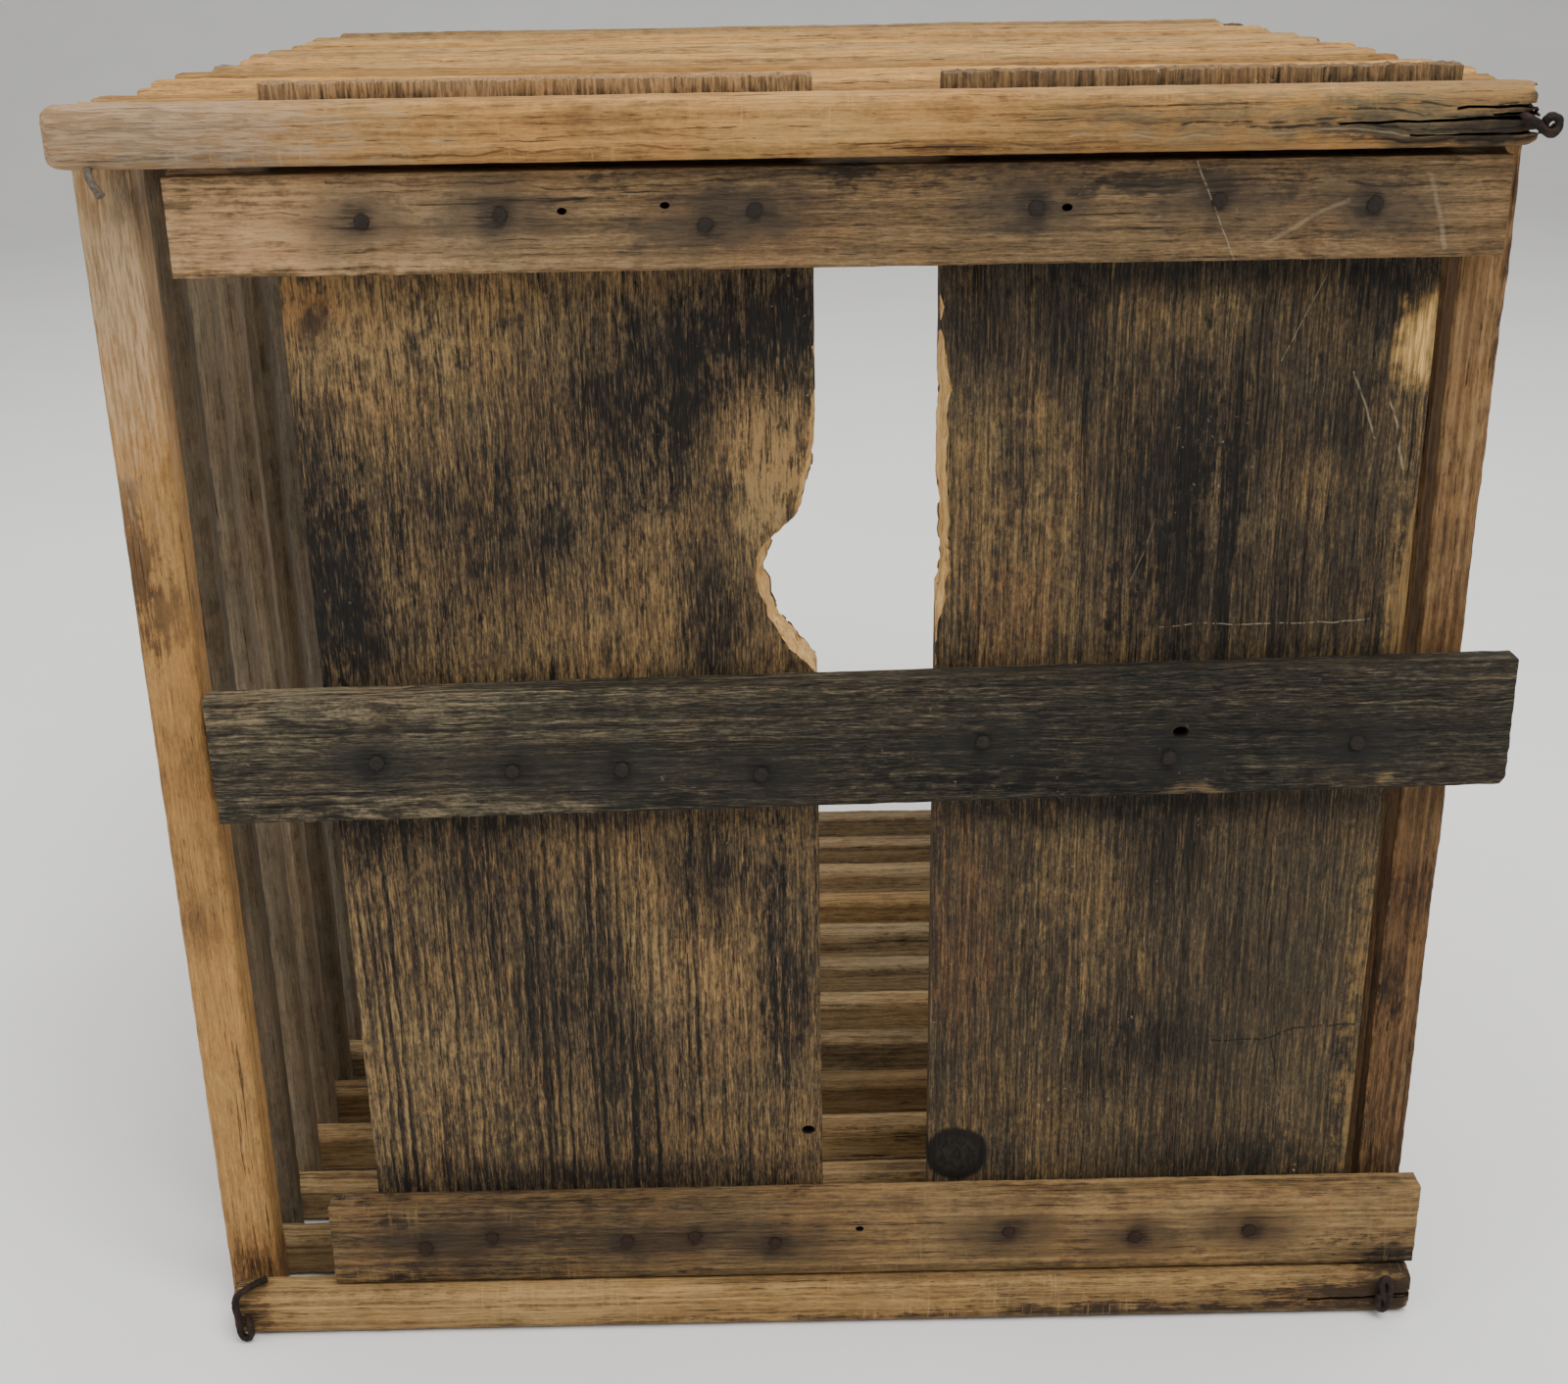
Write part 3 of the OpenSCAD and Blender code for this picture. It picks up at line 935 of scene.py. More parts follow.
@dataclass
class SlatWall:
    """Slats of one wall, all copies of one slat, each with its own warp and wear."""

    bench: Bench
    node: str
    numbers: range
    body: str
    slot: str
    grain: Grain
    finish: Material
    bare: Material
    crack: Material
    edge_mm: float = 3.8
    end_mm: float = 1.6
    edge_faces: int = 4
    end_faces: int = 2
    cuts: int = 60
    cross_cuts: int = 0
    warp_mm: float = 1.2
    rib_mm: float = 0.45
    dent_mm: float = 0.5
    chip_mm: float = 0.5
    short_mm: float = 2.2
    short_run_mm: float = 20.0
    fray_mm: float = 0.9
    fray_run_mm: float = 5.0
    jag_mm: float = 1.3
    snap_share: float = 0.8
    snap_above_mm: float = 2.0
    snap_past_mm: float = 9.0
    snap_drift_mm: float = 4.0
    snap_teeth: int = 7
    cleft_steps: int = 12
    cleft_wander_mm: float = 0.2
    cleft_tip_mm: float = 0.1
    cleft_flare: float = 1.3
    cleft_uneven: tuple[float, float] = (0.7, 1.1)
    past_mm: float = 3.0
    broken: dict[int, tuple[float, float]] = field(default_factory=dict)
    clefts: tuple[Cleft, ...] = ()

    def build(self) -> None:
        """Model the slats and hand them over."""
        low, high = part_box(f"{self.node}_{self.numbers[0]}")
        pattern = self.model(low, high)
        dice = random.Random(f"{SEED}{self.node}{self.numbers[0]}")
        for k in self.numbers:
            name = f"{self.node}_{k}"
            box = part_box(name)
            slat = self.bench.copy(pattern, f"{name}_wood", box[0] - low)
            self.bench.dress(slat, self.finish)
            self.shorten(slat, dice, *box)
            if k in self.broken:
                self.snap(slat, dice, *box, self.broken[k])
            for cleft in self.clefts:
                self.bench.carve(slat, self.split(cleft, dice, *box))
            self.wear(slat, *box)
            self.bench.place(slat, self.body, self.slot, name)
        bpy.data.objects.remove(pattern)

    def axis(self) -> int:
        """Number of the axis that the slats lie along."""
        return 0 if self.grain is Grain.ALONG_X else 2

    def model(self, low: Vector, high: Vector) -> Piece:
        """Model one straight slat.

        Args:
            low: Its lowest corner.
            high: Its highest corner.

        Returns:
            The slat that the others are copied from.
        """
        axis = self.axis()
        half = 0.5 * (high - low)[axis]
        bench = self.bench
        made = bench.bar(f"{self.node}_pattern", low, high)
        with edit_mode():
            bench.pick(made, lambda a, b: abs((b - a)[axis]) > half)
            bpy.ops.mesh.bevel(offset=self.edge_mm * MM, segments=self.edge_faces, affect="EDGES")
            bench.pick(made, lambda a, b: abs((b - a)[axis]) < half)
            bpy.ops.mesh.bevel(offset=self.end_mm * MM, segments=self.end_faces, affect="EDGES")
            bench.cut_along(made, axis, self.cuts, half)
            if self.cross_cuts:
                bench.cut_along(made, 2 - axis, self.cross_cuts, self.edge_mm * MM)
        bench.finer(made, 1)
        return made

    def shorten(self, slat: Piece, dice: random.Random, low: Vector, high: Vector) -> None:
        """Saw each end of a slat a little short of its neighbours'.

        Args:
            slat: The slat.
            dice: What the two lengths are drawn from.
            low: The slat's lowest corner.
            high: The slat's highest corner.
        """
        axis = self.axis()
        run = self.short_run_mm * MM
        cuts = [dice.uniform(0, self.short_mm) * MM for _end in (low, high)]
        for point in slat.data.vertices:
            start = point.co[axis] - low[axis]
            end = high[axis] - point.co[axis]
            if start < run:
                point.co[axis] += cuts[0] * (1 - start / run)
            elif end < run:
                point.co[axis] -= cuts[1] * (1 - end / run)

    def snap(self, slat: Piece, dice: random.Random, low: Vector, high: Vector,
             reach_mm: tuple[float, float]) -> None:
        """Break the far end of a slat off on a jagged slant.

        Args:
            slat: The slat.
            dice: What the slant is drawn from.
            low: The slat's lowest corner.
            high: The slat's highest corner.
            reach_mm: Least and greatest length that breaks off.
        """
        reach = dice.uniform(*reach_mm) * MM
        past = self.past_mm * MM
        top = high.z + self.snap_above_mm * MM
        fall = self.snap_share * (high.z - low.z)
        outline = []
        for i in range(self.snap_teeth + 1):
            share = i / self.snap_teeth
            jag = dice.uniform(-self.jag_mm, self.jag_mm) * MM
            outline.append((high.x - reach * (1 - share) + jag, top - share * fall))
        outside = high.x + self.snap_past_mm * MM
        outline += [(outside, top - fall), (outside, top)]
        drift = dice.uniform(-self.snap_drift_mm, self.snap_drift_mm) * MM
        self.bench.carve(slat, self.bench.slab(outline, low.y - past, high.y + past, drift, self.bare))

    def split(self, cleft: Cleft, dice: random.Random, low: Vector, high: Vector) -> Piece:
        """Model the gap of one split along the grain at the far end of a slat.

        Args:
            cleft: The split.
            dice: What its wandering is drawn from.
            low: The slat's lowest corner.
            high: The slat's highest corner.

        Returns:
            The cutter.
        """
        past = self.past_mm * MM
        whole = cleft.length_mm + 2 * self.past_mm
        level = low.z + cleft.height * (high.z - low.z)
        upper, lower = [], []
        for i in range(self.cleft_steps + 1):
            share = i / self.cleft_steps
            wander = dice.uniform(-self.cleft_wander_mm, self.cleft_wander_mm)
            x = high.x + (share * whole - cleft.length_mm) * MM
            z = level + (cleft.rise_mm * share + wander) * MM
            half = (self.cleft_tip_mm + 0.5 * cleft.gap_mm * share ** self.cleft_flare) * MM
            upper.append((x, z + half * dice.uniform(*self.cleft_uneven)))
            lower.append((x, z - half * dice.uniform(*self.cleft_uneven)))
        return self.bench.slab(upper + lower[::-1], low.y - past, high.y - past, 0.0, self.crack)

    def wear(self, slat: Piece, low: Vector, high: Vector) -> None:
        """Warp a slat, raise its grain and fray its ends.

        Args:
            slat: The slat.
            low: Its lowest corner.
            high: Its highest corner.
        """
        axis = self.axis()
        bench = self.bench
        run = self.fray_run_mm * MM
        bench.group(slat, "ends", lambda p: 1 - min(p[axis] - low[axis], high[axis] - p[axis]) / run)
        bench.rough(slat, "rib", self.rib_mm, self.grain)
        bench.rough(slat, "dent", self.dent_mm)
        bench.rough(slat, "warp", self.warp_mm, way="RGB_TO_XYZ", level=0.5)
        bench.rough(slat, "chip", self.chip_mm)
        bench.rough(slat, "chip", self.fray_mm, group="ends")
        bench.hold(slat, low, high)


@dataclass(frozen=True)
class Hole:
    """An empty nail hole: its place across X and up Z, and its radius, in mm."""

    x: float
    z: float
    radius: float


@dataclass(frozen=True)
class Board:
    """A board: its node, the way along X that its chewed edge faces, that edge and its empty holes.

    The edge is given as depth and height in mm, from the top down.
    """

    node: str
    side: float
    bite: tuple[tuple[float, float], ...]
    holes: tuple[Hole, ...] = ()


@dataclass(frozen=True)
class Batten:
    """A batten: its node and slot, the depth of its grain, its slope up to the right and its empty holes.

    It may stand a little taller than its solid, with a feather above that, and have a corner knocked off.
    """

    node: str
    slot: str
    rib_mm: float
    tilt: float = 0.0
    lift_mm: float = 0.0
    lip_mm: float = 0.0
    corner_mm: tuple[float, float] | None = None
    holes: tuple[Hole, ...] = ()


@dataclass
class EndPanel:
    """The boarded end: two boards and three battens."""

    bench: Bench
    body: str = "floor"
    boards: tuple[Board, ...] = (
        Board("left_board", 1.0,
              ((0.0, 300), (0.6, 266), (3.0, 249), (6.0, 234), (13.5, 227.5), (15.6, 219), (12.4, 208.5),
               (6.8, 200.5), (0.6, 193.5), (0.0, 190)),
              (Hole(-1.1, 57.6, 1.2),)),
        Board("right_board", -1.0,
              ((0.0, 300), (0.8, 281), (3.0, 264), (2.2, 250), (3.2, 238), (3.8, 221), (1.2, 205),
               (0.3, 196), (0.0, 190))),
    )
    battens: tuple[Batten, ...] = (
        Batten("top_batten", "batten_wood", 0.2, lift_mm=0.35, lip_mm=2.2,
               holes=(Hole(-54.4, 309.4, 0.7), Hole(-31.1, 310.3, 0.7), Hole(60.0, 308.3, 0.8))),
        Batten("middle_batten", "grey_batten_wood", 0.6, math.radians(0.8), corner_mm=(2.2, 3.0),
               holes=(Hole(93.6, 177.5, 1.2),)),
        Batten("bottom_batten", "batten_wood", 0.35, holes=(Hole(12.7, 30.1, 0.7),)),
    )
    edge_faces: int = 2
    board_round_mm: float = 0.7
    board_cuts: tuple[int, int, int] = (150, 3, 120)
    board_rib_mm: float = 0.35
    board_dent_mm: float = 0.3
    board_top_mm: float = 1.5
    board_top_run_mm: float = 5.0
    batten_round_mm: float = 0.6
    batten_cuts: tuple[int, int, int] = (170, 4, 26)
    batten_dent_mm: float = 0.2
    rim_chip_mm: float = 0.5
    rim_shares: tuple[float, float] = (1 / 40, 1 / 5)
    lip_run_mm: float = 4.8
    lip_skin: float = 1.2
    lip_power: int = 3
    chew_slope_mm: float = 3.2
    chew_reach_mm: float = 14.0
    chew_past_mm: float = 2.0
    chew_face_mm: float = 0.9
    tooth_mm: float = 1.6
    tooth_level: float = 0.4
    hole_sides: int = 11
    hole_deep_mm: float = 8.0
    hole_sink_mm: float = 3.0
    hole_taper: float = 0.6
    hole_stretch: float = 1.5
    past_mm: float = 3.0

    def build(self, woods: dict[str, Material]) -> None:
        """Model the panel.

        Args:
            woods: Materials by the name of the piece that they dress.
        """
        for board in self.boards:
            self.saw_board(board, woods)
        for batten in self.battens:
            self.saw_batten(batten, woods)

    def saw_board(self, board: Board, woods: dict[str, Material]) -> None:
        """Model a board with sawn ends and a chewed edge.

        Args:
            board: The board.
            woods: Materials by piece.
        """
        bench = self.bench
        low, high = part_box(board.node)
        wood = bench.plank(f"{board.node}_wood", low, high, self.board_round_mm, self.edge_faces,
                           self.board_cuts)
        bench.dress(wood, woods[board.node])
        bench.carve(wood, self.chewer(board, low, high, woods["chewed"]))
        for hole in board.holes:
            bench.carve(wood, self.drill(hole, low.y, woods["crack"]))
        run = self.board_top_run_mm * MM
        bench.group(wood, "top", lambda p: 1 - (high.z - p.z) / run)
        bench.rough(wood, "rib", self.board_rib_mm, Grain.ALONG_Z)
        bench.rough(wood, "dent", self.board_dent_mm)
        bench.rough(wood, "fibre", self.board_top_mm, Grain.ALONG_Z, "Z", group="top")
        bench.place(wood, self.body, "board_wood", board.node)

    def chewer(self, board: Board, low: Vector, high: Vector, finish: Material) -> Piece:
        """Model the shape that was chewed away, wider in front than behind.

        Args:
            board: The board.
            low: Its lowest corner.
            high: Its highest corner.
            finish: Finish of the bare wood.

        Returns:
            The cutter.
        """
        side = board.side
        past = self.chew_past_mm * MM
        edge = high.x if side > 0 else low.x
        outside = edge + side * self.chew_reach_mm * MM
        outline = [(edge - side * depth * MM, z * MM) for depth, z in board.bite]
        outline += [(outside, outline[-1][1]), (outside, outline[0][1])]
        slope = side * self.chew_slope_mm * MM
        made = self.bench.slab(outline, low.y - past, high.y + past, slope, finish)
        self.bench.even(made, self.chew_face_mm)
        self.bench.rough(made, "tooth", self.tooth_mm, level=self.tooth_level)
        return made

    def saw_batten(self, batten: Batten, woods: dict[str, Material]) -> None:
        """Model a batten with worn edges.

        Args:
            batten: The batten.
            woods: Materials by piece.
        """
        bench = self.bench
        finish = woods[batten.node]
        low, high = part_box(batten.node)
        high.z += batten.lift_mm * MM
        middle = (low + high) / 2
        size = high - low
        across, up = math.cos(batten.tilt), math.sin(batten.tilt)
        length = (size.x * across - size.z * up) / math.cos(2 * batten.tilt)
        height = (size.z * across - size.x * up) / math.cos(2 * batten.tilt)
        half = Vector((length, size.y, height)) / 2
        wood = bench.plank(f"{batten.node}_wood", middle - half, middle + half, self.batten_round_mm,
                           self.edge_faces, self.batten_cuts)
        bench.dress(wood, finish)
        if batten.lip_mm:
            self.feather(wood, high, batten.lip_mm)
        for hole in batten.holes:
            bench.carve(wood, self.drill(hole, low.y, woods["crack"]))
        if batten.corner_mm:
            self.knock_off(wood, middle + half, middle - half, batten.corner_mm, finish)
        bench.rough(wood, "rib", batten.rib_mm, Grain.ALONG_X)
        bench.rough(wood, "dent", self.batten_dent_mm)
        upper = 0.0 if batten.lift_mm else 1.0
        ends, sides = self.rim_shares
        bench.group(wood, "rim", lambda p: 1 - min(
            (1 - abs(p.x - middle.x) / half.x) / ends,
            (1 - max(middle.z - p.z, upper * (p.z - middle.z)) / half.z) / sides))
        bench.rough(wood, "chip", self.rim_chip_mm, group="rim")
        slope = Matrix.Rotation(-batten.tilt, 4, "Y")
        wood.data.transform(Matrix.Translation(middle) @ slope @ Matrix.Translation(-middle))
        bench.place(wood, self.body, batten.slot, batten.node)

    def feather(self, wood: Piece, high: Vector, rise_mm: float) -> None:
        """Draw a batten's upper back edge up to a feather, where the slat above keeps room to fold.

        Args:
            wood: The batten.
            high: Its highest corner.
            rise_mm: How far the back edge rises.
        """
        run = self.lip_run_mm * MM
        skin = high.z - self.lip_skin * self.batten_round_mm * MM

        def lip(point: Vector) -> float:
            """How much of the rise a point takes."""
            return max(0.0, 1 - (high.y - point.y) / run) ** self.lip_power if point.z > skin else 0.0

        self.bench.group(wood, "lip", lip)
        step = wood.modifiers.new("lip", "DISPLACE")
        step.strength = rise_mm * MM
        step.mid_level = 0.0
        step.direction = "Z"
        step.vertex_group = "lip"
        self.bench.apply(wood, step)

    def knock_off(self, wood: Piece, high: Vector, low: Vector, sizes: tuple[float, float],
                  finish: Material) -> None:
        """Cut a batten's lower right corner off.

        Args:
            wood: The batten.
            high: Its highest corner.
            low: Its lowest corner.
            sizes: Size of the cut across and up, in mm.
            finish: Finish of the cut.
        """
        past = self.past_mm * MM
        inner, upper = high.x - sizes[0] * MM, low.z + sizes[1] * MM
        outline = [(inner, low.z), (inner, low.z - past), (high.x + past, low.z - past),
                   (high.x + past, upper), (high.x, upper)]
        self.bench.carve(wood, self.bench.slab(outline, low.y - past, high.y + past, 0.0, finish))

    def drill(self, hole: Hole, face: float, finish: Material) -> Piece:
        """Model what an empty nail hole takes out of the wood.

        Args:
            hole: The hole.
            face: Place of the front face that it is in.
            finish: Finish of the dark inside.

        Returns:
            The cutter.
        """
        made = self.bench.start(
            bpy.ops.mesh.primitive_cone_add, vertices=self.hole_sides, radius1=hole.radius * MM,
            radius2=self.hole_taper * hole.radius * MM, depth=self.hole_deep_mm * MM,
            location=(hole.x * MM, face + self.hole_sink_mm * MM, hole.z * MM),
            rotation=(-math.pi / 2, 0.0, 0.0), scale=(self.hole_stretch, 1.0, 1.0))
        bpy.ops.object.transform_apply(location=True, rotation=True, scale=True)
        self.bench.dress(made, finish)
        return made


@dataclass
class Nails:
    """The nails of the boarded end, modelled once and driven at every place."""

    bench: Bench
    body: str = "floor"
    sides: int = 18
    radius_mm: float = 2.1
    thick_mm: float = 0.9
    edge_mm: float = 0.35
    edge_faces: int = 2
    rim_mm: float = 1.25
    tip: float = 0.3
    short_mm: float = 1.2
    sink_mm: float = 0.55
    lean: float = 0.1
    turn: float = 6.28
    least: float = 0.85
    pit_mm: float = 0.25
    face_mm: float = 0.1
    apart_mm: float = 5.0

    def build(self, finish: Material) -> None:
        """Model one nail and drive a copy of it, each a little different, at every place.

        Args:
            finish: Finish of the iron.
        """
        bench = self.bench
        low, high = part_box("nails")
        pattern = self.model(high.y - low.y - self.short_mm * MM)
        dice = random.Random(SEED)
        made: list[Piece] = []
        for place in self.places():
            head = Vector((place.x, low.y + self.sink_mm * MM, place.z))
            nail = bench.copy(pattern, "nail", Vector())
            tip = Euler((dice.uniform(-self.lean, self.lean), dice.uniform(0, self.turn),
                         dice.uniform(-self.lean, self.lean)))
            size = Vector((dice.uniform(self.least, 1.0), 1.0, dice.uniform(self.least, 1.0)))
            nail.data.transform(Matrix.LocRotScale(head, tip, size))
            made.append(nail)
        bpy.data.objects.remove(pattern)
        bpy.ops.object.select_all(action="DESELECT")
        for nail in made:
            nail.select_set(True)
        bpy.context.view_layer.objects.active = made[0]
        bpy.ops.object.join()
        made[0].name = "nails_iron"
        bench.rough(made[0], "fibre", self.pit_mm)
        bench.dress(made[0], finish)
        bench.place(made[0], self.body, "nail_iron", "nails")

    def model(self, shank: float) -> Piece:
        """Model one nail with its head at the origin and its shank along +Y.

        Args:
            shank: Length of the shank.

        Returns:
            The nail that the others are copied from.
        """
        made = self.bench.start(
            bpy.ops.mesh.primitive_cylinder_add, vertices=self.sides, radius=self.radius_mm * MM,
            depth=self.thick_mm * MM, rotation=(math.pi / 2, 0, 0))
        bpy.ops.object.transform_apply(location=False, rotation=True, scale=True)
        with edit_mode():
            self.bench.pick(made, lambda a, b: a.y < 0 and b.y < 0)
            bpy.ops.mesh.bevel(offset=self.edge_mm * MM, segments=self.edge_faces, affect="EDGES")
            bpy.ops.mesh.select_mode(type="FACE")
            bpy.ops.mesh.select_all(action="DESELECT")
            mesh = bmesh.from_edit_mesh(made.data)
            back = max(mesh.faces, key=lambda f: f.calc_center_median().y)
            back.select_set(True)
            bmesh.update_edit_mesh(made.data)
            bpy.ops.mesh.inset(thickness=self.rim_mm * MM)
            bpy.ops.mesh.extrude_region_move(TRANSFORM_OT_translate={"value": (0.0, shank, 0.0)})
            bpy.ops.transform.resize(value=(self.tip, 1.0, self.tip))
        self.bench.finer(made, 1)
        return made

    def places(self) -> list[Vector]:
        """Find the middle of each nail's head on the solid nails.

        Returns:
            One place for each nail, from the bottom up and from left to right.
        """
        mesh = frame["nodes"]["nails"].data
        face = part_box("nails")[0].y
        heaps: list[list[Vector]] = []
        for point in mesh.vertices:
            if point.co.y > face + self.face_mm * MM:
                continue
            near = [h for h in heaps if (h[0] - point.co).length < self.apart_mm * MM]
            if near:
                near[0].append(point.co.copy())
            else:
                heaps.append([point.co.copy()])
        places = [sum(heap, Vector()) / len(heap) for heap in heaps]
        return sorted(places, key=lambda p: (round(p.z, 2), p.x))


@dataclass
class CornerWires:
    """The four corner wires, bent from one gauge of wire.

    The tail is the clinched back end: how far behind the slats and how far inward from the hole, in mm.
    """

    bench: Bench
    rusty: Material
    greyed: Material
    gauge_mm: float = 2.5
    lie_mm: float = 1.4
    tail_mm: tuple[tuple[float, float], ...] = ((1.4, 8.5), (1.4, 4.5), (1.4, 1.6), (0.7, 0.3), (-1.4, 0.0))
    sink_mm: float = 1.4
    deep_mm: float = 6.0
    bend_steps: int = 5
    side_steps: int = 3
    merge_mm: float = 0.01
    pit_mm: float = 0.5

    def build(self) -> None:
        """Model the four wires along their pivot lines."""
        for corner in Corner:
            self.wire(corner)

    def pivot(self, corner: Corner) -> Vector:
        """Middle of a corner's pivot line, from the joints of the frame."""
        pins = {j["name"]: Vector(j["pos_m"]) for j in frame["joints"]}
        left = pins["left_fold"]
        return {
            Corner.LOWER_LEFT: left,
            Corner.LOWER_RIGHT: pins["right_fold"],
            Corner.UPPER_LEFT: pins["top_fold"],
            Corner.UPPER_RIGHT: pins["top_fold"] + pins["right_fold"] - left,
        }[corner]

    def front(self, corner: Corner) -> list[tuple[float, float, float]]:
        """Points of a wire's front end, from the hole on: how far right, in front and above it, in mm."""
        lie = self.lie_mm
        return {
            Corner.LOWER_LEFT: [(1.2, lie, -0.6), (1.4, lie, -4.6), (0.0, lie, -5.8), (-1.3, lie, -4.4),
                                (-1.4, lie, 0.6), (-2.0, lie, 5.0), (-1.2, lie - 0.2, 8.2), (0.8, 0.2, 9.6),
                                (3.0, -2.4, 9.6), (5.4, -5.4, 8.9)],
            Corner.LOWER_RIGHT: [(0.9, lie, -0.4), (1.2, lie, 3.0), (0.5, lie, 6.2), (-0.8, lie, 6.4),
                                 (-0.9, lie, 3.6), (-0.3, lie, 0.6), (0.7, lie, -2.6), (-0.7, lie, -3.7),
                                 (-1.7, lie, -1.6), (-1.4, lie, 1.8)],
            Corner.UPPER_LEFT: [(0.2, -4.6, -2.0), (0.8, -2.8, -5.4), (1.8, -0.2, -8.6), (4.2, 1.0, -12.4)],
            Corner.UPPER_RIGHT: [(0.7, lie - 0.4, -0.7), (2.6, lie, -1.8), (4.4, lie, -3.4), (6.2, 1.0, -3.9),
                                 (7.6, 0.6, -2.6), (7.2, 0.2, -0.8), (5.6, 0.0, -0.6), (4.8, -0.4, -2.2),
                                 (6.0, -1.0, -3.6), (7.8, -1.6, -2.8)],
        }[corner]

    def wire(self, corner: Corner) -> None:
        """Bend one wire as a curve with a round section and turn it into a mesh.

        Args:
            corner: The corner that the wire runs along.
        """
        pivot = self.pivot(corner)
        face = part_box("floor_slat_1")[0].y
        back = -face
        inward = 1.0 if pivot.z < CAD_BOX[1][2] / 2 else -1.0
        route = [Vector((pivot.x, back + y * MM, pivot.z + inward * z * MM)) for y, z in self.tail_mm]
        turn_mm = self.deep_mm if corner is Corner.UPPER_LEFT else self.sink_mm
        route.append(Vector((pivot.x, face + turn_mm * MM, pivot.z)))
        for x, y, z in self.front(corner):
            route.append(Vector((pivot.x + x * MM, face - y * MM, pivot.z + z * MM)))
        made = self.bench.start(bpy.ops.curve.primitive_bezier_curve_add)
        spline = made.data.splines[0]
        spline.bezier_points.add(len(route) - len(spline.bezier_points))
        for point, place in zip(spline.bezier_points, route):
            point.co = place
            point.handle_left_type = "AUTO"
            point.handle_right_type = "AUTO"
        spline.resolution_u = self.bend_steps
        made.data.bevel_depth = self.gauge_mm * MM / 2
        made.data.bevel_resolution = self.side_steps
        made.data.use_fill_caps = True
        made.matrix_world = Matrix.Identity(4)
        self.bench.take(made)
        bpy.ops.object.convert(target="MESH")
        made = bpy.context.object
        made.name = f"{corner.value}_bent"
        with edit_mode():
            bpy.ops.mesh.select_all(action="SELECT")
            bpy.ops.mesh.remove_doubles(threshold=self.merge_mm * MM)
            bpy.ops.mesh.normals_make_consistent(inside=False)
        self.bench.rough(made, "fibre", self.pit_mm)
        self.bench.dress(made, self.greyed if corner is Corner.UPPER_LEFT else self.rusty)
        body = "floor" if corner in (Corner.LOWER_LEFT, Corner.LOWER_RIGHT) else "top"
        self.bench.place(made, body, "wire_steel", corner.value)


@dataclass(frozen=True)
class Lamp:
    """A square soft light: its name, its place, its side in metres and its power in watts."""

    name: str
    at: tuple[float, float, float]
    size: float
    power: float


